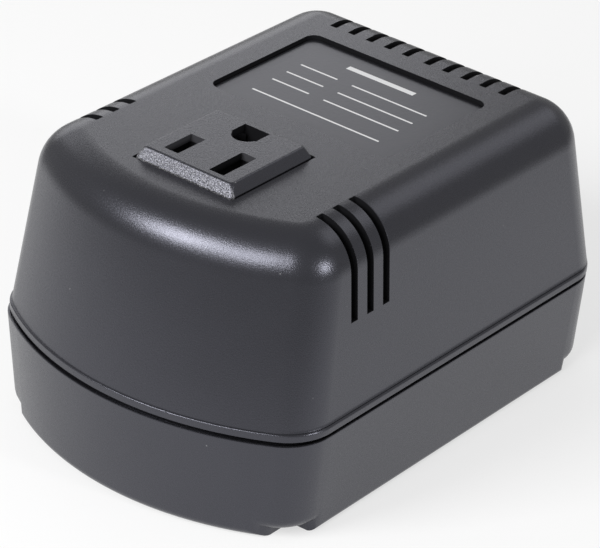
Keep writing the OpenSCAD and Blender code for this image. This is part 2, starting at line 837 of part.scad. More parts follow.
module core_bolts() color("silver")
    for (s = [-1, 1], z = [bolt_low_z, bolt_high_z]) {
        front = coil_y - stack_half - bolt_seat(z);
        rear = coil_y + stack_half + bolt_seat(z);
        rod_y(s * bolt_x, front - bolt_head_t, z, bolt_head_d, bolt_head_t);
        rod_y(s * bolt_x, front - thin, z, core_bolt_d, rear - front + nut_t + 0.8);
    }

module core_nuts() color("silver")
    for (s = [-1, 1], z = [bolt_low_z, bolt_high_z]) {
        rear = coil_y + stack_half + bolt_seat(z);
        difference() {
            translate([s * bolt_x, rear, z]) rotate([-90, 0, 0]) cylinder(d = nut_d, h = nut_t, $fn = 6);
            rod_y(s * bolt_x, rear - over, z, core_bolt_d + play, nut_t + 2 * over);
        }
    }

module bracket_screws() color("silver")
    at_feet() {
        seat = core_z + bracket_t;
        rod(0, 0, seat, small_head_d, small_head_t);
        rod(0, 0, rail_h + 0.8, small_screw_d, seat - rail_h - 0.8 + thin);
    }

// Thermal cut-out on the rear of the primary winding
module thermal_cutout() color([0.9, 0.9, 0.86]) {
    crimp = 0.6;
    block(cutout_x, cutout_y, cutout_z + crimp, cutout_w, cutout_t, cutout_h - crimp);
    block(cutout_x, cutout_y, cutout_z, cutout_w - 2 * crimp, cutout_t - 2 * crimp, cutout_h);
}

// Two-way terminal block beside the inlet
module terminal_block() color([0.9, 0.9, 0.87])
    difference() {
        block(block_x, block_y, floor_z, block_w, block_d, block_h);
        for (s = [-1, 1])
            rod(block_x + s * block_pole, block_y - 2, floor_z + 3, clamp_screw_d + 0.2, block_h);
        rod(block_x, block_y, floor_z - over, block_screw_d + 0.3, block_h + 2 * over);
        rod(block_x, block_y, floor_z + 3, 4, block_h);
    }

module terminal_screws() color([0.85, 0.8, 0.6])
    for (s = [-1, 1]) difference() {
        rod(block_x + s * block_pole, block_y - 2, floor_z + 3, clamp_screw_d, block_h - 4);
        block(block_x + s * block_pole, block_y - 2, block_top - 1.8, clamp_screw_d + over, 0.6, over);
    }

module block_screw() color("silver") {
    rod(block_x, block_y, floor_z + 3, 3.8, 1.6);
    rod(block_x, block_y, rail_h + 0.8, block_screw_d, floor_z + 3 - rail_h - 0.8 + thin);
}

// Lead from the cut-out round to the first primary tag
module cutout_link() color([0.15, 0.3, 0.7]) {
    y = cutout_y;
    start = [cutout_x - cutout_w / 4, y, cutout_z];
    tag = [rear_tag_x[0], rear_tag_y, rear_tag_z];
    lead([
        start, start + bend * [0, 0, -1.2], start + bend * [-2, 0.2, -2],
        [rear_tag_x[1] / 2, y + bend * 0.2, tag[2] - bend * 0.2],
        tag + bend * [1, 1.2, -1.5], tag + bend * [0.2, 0.3, -1.7], tag + bend * [0, 0, -0.8], tag
    ], [0, 1, 0]);
}

// Lead from the terminal block up to the cut-out
module live_lead() color([0.45, 0.25, 0.1]) {
    low = [cutout_x + block_pole, cutout_y, block_top];
    high = [cutout_x + block_pole, cutout_y, cutout_z];
    up = bend * [0, 0, 0.6];
    lead([low, low + up, (low + high) / 2 + bend * [0.15, 0.15, 0], high - up, high], [1, 0, 0]);
}

// Lead from the terminal block to the second primary tag
module neutral_lead() color([0.15, 0.3, 0.7]) {
    start = [block_x - block_w / 2, block_y, floor_z + 0.4 * block_h];
    tag = [rear_tag_x[1], rear_tag_y, rear_tag_z];
    lead([
        start, start + bend * [-1, 0, 0], start + bend * [-2.5, -0.3, -0.3], tag + bend * [1.2, 0.5, -2.1],
        tag + bend * [0.2, 0.05, -1.7], tag + bend * [0, 0, -0.8], tag
    ], [0, 1, 0]);
}

// Lead from a secondary tag over the flange and under the outlet to a contact tail
module output_lead(tag_x, tail_x) {
    tag = [tag_x, front_tag_y, front_tag_z + tag_l];
    tail = [tail_x, blade_y, tail_z];
    lead([
        tag, tag + bend * [0, 0, 0.8], tag + bend * [0, -1, 1.6], tag + bend * [0, -2, 0.6],
        tag + bend * [0, -2.2, -2.5], tag + bend * [0, -3, -5.5],
        [(tag_x + tail_x) / 2, (front_tag_y + blade_y) / 2, tail_z - 2 * bend],
        tail + bend * [0, 2, -2], tail + bend * [0, 0.3, -1.3], tail + bend * [0, 0, -0.6], tail
    ], [1, 0, 0]);
}

module output_hot_lead() color([0.1, 0.1, 0.1]) output_lead(front_tag_x[0], -blade_pitch / 2);

module output_neutral_lead() color([0.9, 0.9, 0.9]) output_lead(front_tag_x[1], blade_pitch / 2);

// Earth lead from the front bracket up to the earth contact
module earth_lead() color([0.3, 0.6, 0.15]) {
    start = [0, coil_y - stack_half - bracket_t, core_z + bracket_h / 2];
    tail = [0, earth_tail_y + leaf_t / 2, tail_z];
    low_z = core_z + lam;
    lead([
        start, start + bend * [0, -1, 0], start + bend * [0, -4.5, 0.7], [0, coil_front - 2.5 * bend, low_z],
        [0, (coil_front + tail[1] - bend) / 2, (low_z + tail_z) / 2], tail + bend * [0, 0.2, -3],
        tail + bend * [0, 0, -1], tail
    ], [1, 0, 0]);
}

// Bush in the rear wall that the supply cord enters by
module cord_bush() color([0.08, 0.08, 0.08]) {
    face = half_l - bush_set;
    difference() {
        union() {
            rod_y(0, face - bush_flange_t, bush_z, bush_flange_d, bush_flange_t);
            rod_y(0, rear_in - bush_ring_t, bush_z, bush_d, face - rear_in + bush_ring_t);
            rod_y(0, rear_in - bush_ring_t - play, bush_z, bush_d + 2.4, bush_ring_t);
        }
        rod_y(0, rear_in - bush_ring_t - over, bush_z, cord_hole_d, base_wall + bush_ring_t + 2 * over);
    }
}

top_cover();
base_tray();
rating_plate();
socket_body();
contact_carrier();
hot_contact();
neutral_contact();
ground_contact();
socket_screws();
e_laminations();
i_laminations();
coil_bobbin();
primary_winding();
secondary_winding();
primary_tape();
secondary_tape();
bobbin_tags();
front_bracket();
rear_bracket();
core_bolts();
core_nuts();
bracket_screws();
thermal_cutout();
terminal_block();
terminal_screws();
block_screw();
cutout_link();
live_lead();
neutral_lead();
output_hot_lead();
output_neutral_lead();
earth_lead();
cord_bush();
case_screws();
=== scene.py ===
"""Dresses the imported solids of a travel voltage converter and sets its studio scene."""

from __future__ import annotations

import logging
import math
from dataclasses import dataclass, field
from enum import Enum, IntEnum
from typing import Callable, Iterable, Sequence

import bmesh
import bpy
from mathutils import Matrix, Vector


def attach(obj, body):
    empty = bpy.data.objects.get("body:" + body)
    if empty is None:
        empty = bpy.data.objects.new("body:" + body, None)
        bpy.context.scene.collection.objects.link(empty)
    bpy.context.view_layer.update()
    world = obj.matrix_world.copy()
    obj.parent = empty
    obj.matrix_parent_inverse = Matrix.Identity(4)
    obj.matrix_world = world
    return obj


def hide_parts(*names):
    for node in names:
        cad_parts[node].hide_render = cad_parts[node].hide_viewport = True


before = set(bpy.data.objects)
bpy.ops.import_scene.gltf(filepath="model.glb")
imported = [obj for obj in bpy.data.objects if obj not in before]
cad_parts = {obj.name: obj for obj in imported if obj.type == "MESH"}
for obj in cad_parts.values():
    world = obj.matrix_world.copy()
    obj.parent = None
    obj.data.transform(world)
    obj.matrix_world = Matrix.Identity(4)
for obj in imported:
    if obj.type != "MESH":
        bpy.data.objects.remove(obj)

LOG = logging.getLogger("converter")
MM = 0.001
BODY = "root"

Loop = list[Vector]
Pair = tuple[float, float]
Triple = tuple[float, float, float]
Color = tuple[float, float, float, float]
Inputs = dict[str | int, object]
Solid = bmesh.types.BMesh
Socket = bpy.types.NodeSocket
Material = bpy.types.Material

CHARCOAL = (0.0095, 0.0095, 0.011)
# Near-black for a black inner part, and painted shade on the case's cut and inner faces.
BLACK_AND_PAINTED_SHADE = (0.006, 0.006, 0.0065)
GLOSS_TINT: Color = (0.84, 0.85, 1.0, 1.0)
MID_ROUND = 0.3  # Share of its radius by which a rounding's middle stands back.


class Skin(IntEnum):
    """Which surface of a piece a face came from."""

    OUTSIDE = 0
    CUT = 1
    INSIDE = 2


class Grain(Enum):
    """Grain of a moulded face: scale per metre and height in metres."""

    FINE = (4300.0, 0.000036)
    COARSE = (3600.0, 0.00015)
    PLAIN = (1200.0, 0.00001)


class Axis(IntEnum):
    """One of a piece's own axes."""

    X = 0
    Y = 1
    Z = 2


class Boolean(Enum):
    """How one solid works on another."""

    CARVE = "DIFFERENCE"
    FUSE = "UNION"


@dataclass(frozen=True)
class Insets:
    """How far each run of the case outline is moved in, in millimetres."""

    side: float
    front: float
    rear: float
    corner: float


@dataclass(frozen=True)
class CaseOutline:
    """Plan of the case: a bowed front, two straight sides and a straight rear, in millimetres."""

    half_w: float = 41.85
    half_l: float = 58.3
    front_r: float = 69.6
    front_corner: float = 12.1
    rear_corner: float = 10.5
    least_corner: float = 0.4
    halvings: int = 26

    @property
    def arc_y(self) -> float:
        """Returns the Y of the front bow's centre."""
        return self.front_r - self.half_l

    def runs(self, ins: Insets) -> list[Callable[[float], Vector]]:
        """Gives the runs of the right half, from the front's middle to the rear's middle.

        Args:
            ins: How far each run is moved in.

        Returns:
            A function for each run, from a share of it to a point.
        """
        a = self.half_w - ins.side
        r = self.front_r - ins.front
        y = self.half_l - ins.rear
        cf = max(self.front_corner - ins.corner, self.least_corner)
        cr = max(self.rear_corner - ins.corner, self.least_corner)
        fy = self.arc_y - math.sqrt((r - cf) ** 2 - (a - cf) ** 2)
        turn = math.atan2(fy - self.arc_y, a - cf)

        def arc(cx: float, cy: float, rad: float, a0: float, a1: float) -> Callable[[float], Vector]:
            """Gives an arc.

            Args:
                cx: Its centre in X.
                cy: Its centre in Y.
                rad: Its radius.
                a0: Angle of its start.
                a1: Angle of its end.

            Returns:
                A function from a share of it to a point.
            """
            return lambda t: Vector((
                cx + rad * math.cos(a0 + (a1 - a0) * t), cy + rad * math.sin(a0 + (a1 - a0) * t), 0.0
            ))

        return [
            arc(0.0, self.arc_y, r, -math.pi / 2, turn),
            arc(a - cf, fy, cf, turn, 0.0),
            lambda t: Vector((a, fy + (y - cr - fy) * t, 0.0)),
            arc(a - cr, y - cr, cr, 0.0, math.pi / 2),
            lambda t: Vector(((a - cr) * (1.0 - t), y, 0.0)),
        ]

    def point(self, ins: Insets, u: float) -> Vector:
        """Gives a point of the right half.

        Args:
            ins: How far each run is moved in.
            u: Run number plus the share of that run, from 0 at the front to 5 at the rear.

        Returns:
            The point, with Z at 0.
        """
        runs = self.runs(ins)
        k = min(int(u), len(runs) - 1)
        return runs[k](u - k)

    def seek(self, ins: Insets, axis: Vector, reach: float, low: float, high: float) -> float:
        """Finds where the right half reaches a distance along an axis.

        Args:
            ins: How far each run is moved in.
            axis: Direction along which the outline only goes forwards between low and high.
            reach: Distance along that direction.
            low: First place that is searched.
            high: Last place that is searched.

        Returns:
            The place, as in point.
        """
        for _ in range(self.halvings):
            mid = (low + high) / 2
            low, high = (mid, high) if self.point(ins, mid).dot(axis) < reach else (low, mid)
        return (low + high) / 2


def both_halves(right: Loop) -> Loop:
    """Returns a whole ring from its right half, anticlockwise from the front's middle."""
    return right + [Vector((-p.x, p.y, p.z)) for p in reversed(right[1:-1])]


def even_columns(counts: Sequence[int]) -> list[float]:
    """Returns columns that share out each run of the outline evenly."""
    return [k + i / n for k, n in enumerate(counts) for i in range(n)] + [float(len(counts))]


class RingSkin:
    """A closed skin drawn ring by ring from one loop of vertices."""

    def __init__(self, start: Loop) -> None:
        """Starts the skin.

        Args:
            start: Its first ring.
        """
        self.bm = bmesh.new()
        made = bmesh.ops.create_circle(self.bm, cap_ends=False, segments=len(start), radius=1.0)
        self.ring: list[bmesh.types.BMVert] = made["verts"]
        self._place(start)
        self.first = self._edges()

    def _place(self, loop: Loop) -> None:
        """Moves the last ring onto a loop."""
        for vert, point in zip(self.ring, loop):
            vert.co = point

    def _edges(self) -> list[bmesh.types.BMEdge]:
        """Returns the last ring's edges."""
        return [self.bm.edges.get(pair) for pair in zip(self.ring, self.ring[1:] + self.ring[:1])]

    def draw(self, loop: Loop) -> None:
        """Extrudes the last ring.

        Args:
            loop: Where the new ring goes.
        """
        made = bmesh.ops.extrude_edge_only(self.bm, edges=self._edges())
        fresh = {v for v in made["geom"] if isinstance(v, bmesh.types.BMVert)}
        self.ring = [
            next(e.other_vert(v) for e in v.link_edges if e.other_vert(v) in fresh) for v in self.ring
        ]
        self._place(loop)

    def close(self, tag: Skin) -> Solid:
        """Caps both ends.

        Args:
            tag: Surface that the faces belong to.

        Returns:
            The closed mesh.
        """
        for edges in (self.first, self._edges()):
            bmesh.ops.contextual_create(self.bm, geom=edges)
        bmesh.ops.recalc_face_normals(self.bm, faces=self.bm.faces)
        for face in self.bm.faces:
            face.material_index = tag
        return self.bm


def ring_solid(loops: Iterable[Loop], tag: Skin = Skin.OUTSIDE) -> Solid:
    """Makes a closed solid through loops.

    Args:
        loops: Rings with the same number of points.
        tag: Surface that its faces belong to.

    Returns:
        The solid.
    """
    rings = iter(loops)
    skin = RingSkin(next(rings))
    for loop in rings:
        skin.draw(loop)
    return skin.close(tag)


def rounded_rect(cx: float, cy: float, w: float, l: float, r: float, z: float, steps: int = 6) -> Loop:
    """Gives a rounded rectangle.

    Args:
        cx: Middle in X.
        cy: Middle in Y.
        w: Width.
        l: Length.
        r: Corner radius.
        z: Height.
        steps: Pieces of each corner.

    Returns:
        Its points, anticlockwise.
    """
    points: Loop = []
    for k, (sx, sy) in enumerate(((1, -1), (1, 1), (-1, 1), (-1, -1))):
        for i in range(steps + 1):
            a = math.pi / 2 * (k - 1 + i / steps)
            points.append(Vector((
                cx + sx * (w / 2 - r) + r * math.cos(a), cy + sy * (l / 2 - r) + r * math.sin(a), z
            )))
    return points


def prism(loop: Loop, low: float, high: float, tag: Skin = Skin.CUT) -> Solid:
    """Returns an upright prism between two heights."""
    return ring_solid([[Vector((p.x, p.y, z)) for p in loop] for z in (low, high)], tag)


def turned(profile: Sequence[Pair], steps: int, place: Matrix, tag: Skin = Skin.OUTSIDE) -> Solid:
    """Turns a profile about an axis.

    Args:
        profile: Points as radius and height, from axis to axis or as a closed ring.
        steps: Pieces round the axis.
        place: Where the axis stands.
        tag: Surface that its faces belong to.

    Returns:
        The turned solid.
    """
    weld = 0.0001
    bm = bmesh.new()
    verts = [bm.verts.new((r, 0.0, z)) for r, z in profile]
    pairs = list(zip(verts, verts[1:]))
    if profile[0][0] > 0.0:
        pairs.append((verts[-1], verts[0]))
    edges = [bm.edges.new(pair) for pair in pairs]
    bmesh.ops.spin(
        bm, geom=verts + edges, cent=(0, 0, 0), axis=(0, 0, 1), angle=2 * math.pi, steps=steps,
        use_merge=True, use_duplicate=False,
    )
    bmesh.ops.remove_doubles(bm, verts=bm.verts, dist=weld)
    bmesh.ops.recalc_face_normals(bm, faces=bm.faces)
    bmesh.ops.transform(bm, matrix=place, verts=bm.verts)
    for face in bm.faces:
        face.material_index = tag
    return bm


def cylinder(r: float, low: float, high: float, place: Matrix, tag: Skin, steps: int = 32) -> Solid:
    """Returns a cylinder between two heights of an axis."""
    return turned([(0, low), (r, low), (r, high), (0, high)], steps, place, tag)


def meshed(name: str, bm: Solid) -> bpy.types.Mesh:
    """Makes mesh data from a solid.

    Args:
        name: The data's name.
        bm: The solid, freed here.

    Returns:
        The mesh data.
    """
    mesh = bpy.data.meshes.new(name)
    bm.to_mesh(mesh)
    bm.free()
    return mesh


def linked(name: str, data: bpy.types.ID) -> bpy.types.Object:
    """Adds an object to the scene.

    Args:
        name: The object's name.
        data: What it holds.

    Returns:
        The object.
    """
    obj = bpy.data.objects.new(name, data)
    bpy.context.scene.collection.objects.link(obj)
    return obj


def joined(parts: Sequence[Solid]) -> Solid:
    """Joins solids into one mesh.

    Args:
        parts: The solids, freed here.

    Returns:
        A mesh with all their faces.
    """
    whole = bmesh.new()
    for bm in parts:
        mesh = meshed("part", bm)
        whole.from_mesh(mesh)
        bpy.data.meshes.remove(mesh)
    return whole


class Workshop:
    """Joins, carves and rounds meshes in millimetres, and turns them into pieces."""

    RIM_DEG = 25.0
    SHARP_DEG = 32.0

    def __init__(self) -> None:
        """Makes the blank materials that keep each face's surface through a cut."""
        self.tags = [bpy.data.materials.new(f"tag_{tag.name.lower()}") for tag in Skin]

    def _object(self, bm: Solid) -> bpy.types.Object:
        """Makes a scratch object.

        Args:
            bm: The mesh that it holds, freed here.

        Returns:
            The object.
        """
        mesh = meshed("scratch", bm)
        for tag in self.tags:
            mesh.materials.append(tag)
        return linked("scratch", mesh)

    def _apply(self, body: Solid, tool: Solid, operation: Boolean) -> Solid:
        """Applies one boolean operation.

        Args:
            body: Mesh that is worked on.
            tool: Mesh that works on it.
            operation: Whether the tool is taken off or added.

        Returns:
            The result.
        """
        base, other = self._object(body), self._object(tool)
        mod = base.modifiers.new("carve", "BOOLEAN")
        mod.operation, mod.solver, mod.object = operation.value, "EXACT", other
        mod.material_mode = "INDEX"
        shape = bpy.data.meshes.new_from_object(base.evaluated_get(bpy.context.evaluated_depsgraph_get()))
        result = bmesh.new()
        result.from_mesh(shape)
        for mesh in (base.data, other.data, shape):
            bpy.data.meshes.remove(mesh)
        return result

    def carve(self, body: Solid, tool: Solid) -> Solid:
        """Returns the body without the tool's volume."""
        return self._apply(body, tool, Boolean.CARVE)

    def fuse(self, body: Solid, tool: Solid) -> Solid:
        """Returns the body together with the tool's volume."""
        return self._apply(body, tool, Boolean.FUSE)

    def round_rims(self, bm: Solid, radius: float) -> None:
        """Rounds the edges where a cut meets the outside.

        Args:
            bm: Mesh to round.
            radius: Radius in millimetres.
        """
        rims = [
            e for e in bm.edges
            if len(e.link_faces) == 2
            and {f.material_index for f in e.link_faces} == {Skin.OUTSIDE, Skin.CUT}
            and e.calc_face_angle(0.0) > math.radians(self.RIM_DEG)
        ]
        made = bmesh.ops.bevel(
            bm, geom=rims, offset=radius, offset_type="OFFSET", segments=2, profile=0.5,
            affect="EDGES", material=-1, clamp_overlap=True,
        )
        for face in made["faces"]:
            face.material_index = Skin.OUTSIDE

    def piece(
        self, name: str, bm: Solid, finishes: Sequence[Material], nodes: Sequence[str]
    ) -> None:
        """Makes a finished piece that stands for CAD nodes.

        Args:
            name: The piece's name.
            bm: Its mesh in millimetres, freed here.
            finishes: Its materials outside, on cut faces and inside. The last one serves for the rest.
            nodes: CAD nodes that it stands for.
        """
        bmesh.ops.scale(bm, vec=(MM, MM, MM), verts=bm.verts)
        for face in bm.faces:
            face.smooth = True
            face.material_index = min(face.material_index, len(finishes) - 1)
        for edge in bm.edges:
            edge.smooth = edge.calc_face_angle(0.0) < math.radians(self.SHARP_DEG)
        mesh = meshed(name, bm)
        for finish in finishes:
            mesh.materials.append(finish)
        obj = linked(name, mesh)
        mod = obj.modifiers.new("flat_faces", "WEIGHTED_NORMAL")
        mod.keep_sharp = True
        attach(obj, BODY)
        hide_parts(*nodes)
        LOG.info("%s: %d faces for %s", name, len(mesh.polygons), ", ".join(nodes))

    def clear(self) -> None:
        """Removes the blank materials."""
        for tag in self.tags:
            bpy.data.materials.remove(tag)


class NodeSheet:
    """Places and joins the nodes of one material, world or group."""

    COLUMN_W = 180

    def __init__(self, tree: bpy.types.NodeTree) -> None:
        """Takes the tree that it fills."""
        self.tree = tree
        self._column = 0

    def add(self, kind: str, inputs: Inputs | None = None, **props: object) -> bpy.types.Node:
        """Adds a node.

        Args:
            kind: Node type.
            inputs: Socket values, or sockets to join from.
            **props: Node properties.

        Returns:
            The node.
        """
        node = self.tree.nodes.new(kind)
        node.location = (self._column * self.COLUMN_W, 0)
        self._column += 1
        for key, value in props.items():
            setattr(node, key, value)
        for key, value in (inputs or {}).items():
            if isinstance(value, Socket):
                self.tree.links.new(value, node.inputs[key])
            else:
                node.inputs[key].default_value = value
        return node

    def math(self, operation: str, a: object, b: object = 0.0) -> Socket:
        """Returns the result of a Math node."""
        return self.add("ShaderNodeMath", {0: a, 1: b}, operation=operation).outputs[0]

    def mix(self, factor: object, a: object, b: object) -> Socket:
        """Returns two colours mixed by a factor."""
        return self.add("ShaderNodeMix", {0: factor, 6: a, 7: b}, data_type="RGBA").outputs[2]

    def ramp(
        self, value: object, low: float, high: float, to_low: float = 0.0, to_high: float = 1.0
    ) -> Socket:
        """Maps a value smoothly from one range to another, held at its ends.

        Args:
            value: The value.
            low: Start of its range.
            high: End of its range.
            to_low: Result at the start.
            to_high: Result at the end.

        Returns:
            The result.
        """
        node = self.add(
            "ShaderNodeMapRange", {0: value, 1: low, 2: high, 3: to_low, 4: to_high},
            interpolation_type="SMOOTHSTEP", clamp=True,
        )
        return node.outputs[0]

    def swing(self, noise: object, to_low: float = 0.0, to_high: float = 1.0) -> Socket:
        """Returns a noise's usual range, mapped to another range."""
        return self.ramp(noise, 0.3, 0.7, to_low, to_high)

    def object_coords(self) -> Socket:
        """Returns the piece's own coordinates in metres."""
        return self.add("ShaderNodeTexCoord").outputs["Object"]

    def axis(self, index: Axis) -> Socket:
        """Returns one of the piece's own coordinates in metres."""
        return self.add("ShaderNodeSeparateXYZ", {0: self.object_coords()}).outputs[index]

    def near(self, value: object, middle: float, half: float) -> Socket:
        """Returns 1 where a value lies within half a width of its middle."""
        return self.math("LESS_THAN", self.math("ABSOLUTE", self.math("SUBTRACT", value, middle)), half)

    def bump(self, height: Socket, distance: float, strength: float = 1.0) -> Socket:
        """Returns the normal of a relief."""
        inputs = {"Height": height, "Strength": strength, "Distance": distance}
        return self.add("ShaderNodeBump", inputs).outputs[0]


def empty_sheet(owner: Material | bpy.types.World) -> NodeSheet:
    """Clears the nodes of a material or world.

    Args:
        owner: The material or world.

    Returns:
        A sheet for its new nodes.
    """
    owner.use_nodes = True
    owner.node_tree.nodes.clear()
    return NodeSheet(owner.node_tree)


class Effects:
    """Shader node groups that several finishes share."""

    def __init__(self) -> None:
        """Builds each group once."""
        self.grain = self._moulded_grain()
        self.dust = self._dust()

    @staticmethod
    def _group(
        name: str, inputs: dict[str, float], outputs: Sequence[str]
    ) -> tuple[NodeSheet, bpy.types.Node]:
        """Starts a group.

        Args:
            name: The group's name.
            inputs: Its inputs and their usual values.
            outputs: Its outputs.

        Returns:
            A sheet for its nodes, and its input node.
        """
        tree = bpy.data.node_groups.new(name, "ShaderNodeTree")
        for label, value in inputs.items():
            socket = tree.interface.new_socket(name=label, in_out="INPUT", socket_type="NodeSocketFloat")
            socket.default_value = value
        for label in outputs:
            tree.interface.new_socket(name=label, in_out="OUTPUT", socket_type="NodeSocketFloat")
        sheet = NodeSheet(tree)
        return sheet, sheet.add("NodeGroupInput")

    def _moulded_grain(self) -> bpy.types.NodeTree:
        """Makes the group for spark-eroded grain.

        Returns:
            The group, which puts out a height and a slow change of tone.
        """
        sheet, given = self._group("moulded_grain", {"Scale": 2600.0}, ("Height", "Tone"))
        coords, scale = sheet.object_coords(), given.outputs["Scale"]
        pit_scale, fine_share, pit_share = 0.9, 0.7, 0.3
        fine = sheet.add(
            "ShaderNodeTexNoise", {"Vector": coords, "Scale": scale, "Detail": 3.0, "Roughness": 0.62}
        )
        pits = sheet.add(
            "ShaderNodeTexVoronoi", {"Vector": coords, "Scale": sheet.math("MULTIPLY", scale, pit_scale)},
            feature="SMOOTH_F1",
        )
        slow = sheet.add(
            "ShaderNodeTexNoise", {"Vector": coords, "Scale": 38.0, "Detail": 4.0, "Roughness": 0.55}
        )
        high = sheet.math("MULTIPLY", fine.outputs[0], fine_share)
        low = sheet.math("MULTIPLY", pits.outputs["Distance"], pit_share)
        height = sheet.math("ADD", high, low)
        sheet.add("NodeGroupOutput", {"Height": height, "Tone": slow.outputs[0]})
        return sheet.tree

    def _dust(self) -> bpy.types.NodeTree:
        """Makes the group for sparse specks of dust.

        Returns:
            The group, which puts out a mask.
        """
        sheet, given = self._group("dust_specks", {"Scale": 260.0, "Share": 0.1}, ("Mask",))
        cells = sheet.add(
            "ShaderNodeTexVoronoi", {"Vector": sheet.object_coords(), "Scale": given.outputs["Scale"]}
        )
        draw = sheet.add("ShaderNodeSeparateColor", {0: cells.outputs["Color"]}).outputs[0]
        chosen = sheet.math("LESS_THAN", draw, given.outputs["Share"])
        core, rim = 0.015, 0.06
        size = sheet.ramp(cells.outputs["Distance"], core, rim, 1.0, 0.0)
        sheet.add("NodeGroupOutput", {"Mask": sheet.math("MULTIPLY", chosen, size)})
        return sheet.tree


@dataclass(frozen=True)
class Finish:
    """A finish with its own procedural material."""

    name: str
    color: Triple
    roughness: float = 0.5

    def _tones(self, spread: float) -> list[Color]:
        """Returns the colour a little darker and a little lighter."""
        return [(*(c * share for c in self.color), 1.0) for share in (1 - spread, 1 + spread)]

    def _inputs(self, sheet: NodeSheet, effects: Effects) -> Inputs:
        """Returns what goes into the shader."""
        raise NotImplementedError

    def material(self, effects: Effects) -> Material:
        """Makes the finish's material.

        Args:
            effects: Shared node groups.

        Returns:
            The material.
        """
        mat = bpy.data.materials.new(self.name)
        sheet = empty_sheet(mat)
        shader = sheet.add("ShaderNodeBsdfPrincipled", self._inputs(sheet, effects))
        sheet.add("ShaderNodeOutputMaterial", {"Surface": shader.outputs[0]})
        return mat


@dataclass(frozen=True)
class MouldedPlastic(Finish):
    """Moulded plastic with spark-eroded grain and a little dust."""

    grain: Grain = Grain.FINE
    specular: float = 0.5
    tone_spread: float = 0.12
    rough_spread: float = 0.12
    dust_share: float = 0.3
    dust_strength: float = 0.22
    dust_color: Color = (0.6, 0.6, 0.6, 1.0)

    def _height(self, sheet: NodeSheet, height: Socket) -> Socket:
        """Returns the grain's height, the same all over."""
        return height

    def _tint(self, sheet: NodeSheet, color: Socket, height: Socket) -> Socket:
        """Returns the colour, the same on the grain's peaks."""
        return color

    def _inputs(self, sheet: NodeSheet, effects: Effects) -> Inputs:
        """Joins the nodes that colour and roughen the surface.

        Args:
            sheet: The material's sheet.
            effects: Shared node groups.

        Returns:
            What goes into the shader.
        """
        scale, depth = self.grain.value
        grain = sheet.add("ShaderNodeGroup", {"Scale": scale}, node_tree=effects.grain).outputs
        dust = sheet.add("ShaderNodeGroup", {"Share": self.dust_share}, node_tree=effects.dust).outputs
        plain = sheet.mix(sheet.swing(grain["Tone"]), *self._tones(self.tone_spread))
        color = sheet.mix(sheet.math("MULTIPLY", dust["Mask"], self.dust_strength), plain, self.dust_color)
        spread = sheet.math("MULTIPLY", grain["Height"], self.rough_spread)
        return {
            "Base Color": self._tint(sheet, color, grain["Height"]),
            "Roughness": sheet.math("ADD", spread, self.roughness - self.rough_spread / 2),
            "Normal": sheet.bump(self._height(sheet, grain["Height"]), depth),
            "Specular IOR Level": self.specular, "Specular Tint": GLOSS_TINT,
        }


@dataclass(frozen=True)
class OutletPlastic(MouldedPlastic):
    """Plastic of the outlet: sparkling grain with painted glints, pale colour on the grain's peaks, on its
    front bevel; calmer elsewhere.
    """

    front_y: float = -0.03535
    fade: float = 0.0002
    calm_share: float = 0.35
    glint_heights: Pair = (0.4, 0.64)
    least_glint: float = 0.1
    glint_color: Color = (0.25, 0.25, 0.265, 1.0)

    def _front(self, sheet: NodeSheet, rest: float) -> Socket:
        """Returns 1 on the front bevel and another value behind it."""
        return sheet.ramp(sheet.axis(Axis.Y), self.front_y - self.fade, self.front_y, 1.0, rest)

    def _height(self, sheet: NodeSheet, height: Socket) -> Socket:
        """Returns the grain's height, lower behind the front bevel."""
        return sheet.math("MULTIPLY", height, self._front(sheet, self.calm_share))

    def _tint(self, sheet: NodeSheet, color: Socket, height: Socket) -> Socket:
        """Returns the colour with painted glints: paler on the front bevel's grain peaks."""
        # Painted glints: pale colour on the front bevel's grain peaks stands in for their sparkle under the
        # lamps.
        glint_mask = sheet.ramp(height, *self.glint_heights, self.least_glint, 1.0)
        return sheet.mix(sheet.math("MULTIPLY", glint_mask, self._front(sheet, 0.0)), color, self.glint_color)


@dataclass(frozen=True)
class Bar:
    """A printed bar on a label, in millimetres: its ends in X, its middle in Y and its thickness."""

    left: float
    right: float
    y: float
    thick: float = 0.5

    def mask(self, sheet: NodeSheet, x: Socket, y: Socket) -> Socket:
        """Returns 1 on the bar."""
        across = sheet.near(x, (self.left + self.right) / 2 * MM, (self.right - self.left) / 2 * MM)
        return sheet.math("MULTIPLY", across, sheet.near(y, self.y * MM, self.thick / 2 * MM))


@dataclass(frozen=True)
class LabelFilm(Finish):
    """Satin film of a blank label, ruled with plain printed lines."""

    ink: Color = (0.62, 0.62, 0.62, 1.0)
    ink_rough: float = 0.15
    specular: float = 0.9
    tone_spread: float = 0.1
    grain_scale: float = 1500.0
    relief: float = 0.00002
    bars: tuple[Bar, ...] = (
        Bar(-9.0, 9.0, 27.6, 1.5),
        *(Bar(left, right, y) for y in (21.4, 16.6, 11.8) for left, right in ((-17.0, -7.0), (-3.0, 17.0))),
        Bar(-17.0, 17.0, 5.2),
    )

    def _inputs(self, sheet: NodeSheet, effects: Effects) -> Inputs:
        """Joins the nodes that colour and roughen the surface.

        Args:
            sheet: The material's sheet.
            effects: Shared node groups.

        Returns:
            What goes into the shader.
        """
        grain = sheet.add("ShaderNodeGroup", {"Scale": self.grain_scale}, node_tree=effects.grain).outputs
        film = sheet.mix(sheet.swing(grain["Tone"]), *self._tones(self.tone_spread))
        x, y = sheet.axis(Axis.X), sheet.axis(Axis.Y)
        print_mask: object = 0.0
        for bar in self.bars:
            print_mask = sheet.math("MAXIMUM", print_mask, bar.mask(sheet, x, y))
        rough = sheet.math("MULTIPLY", print_mask, self.ink_rough)
        return {
            "Base Color": sheet.mix(print_mask, film, self.ink),
            "Roughness": sheet.math("ADD", rough, self.roughness),
            "Normal": sheet.bump(grain["Height"], self.relief),
            "Specular IOR Level": self.specular, "Specular Tint": GLOSS_TINT,
        }


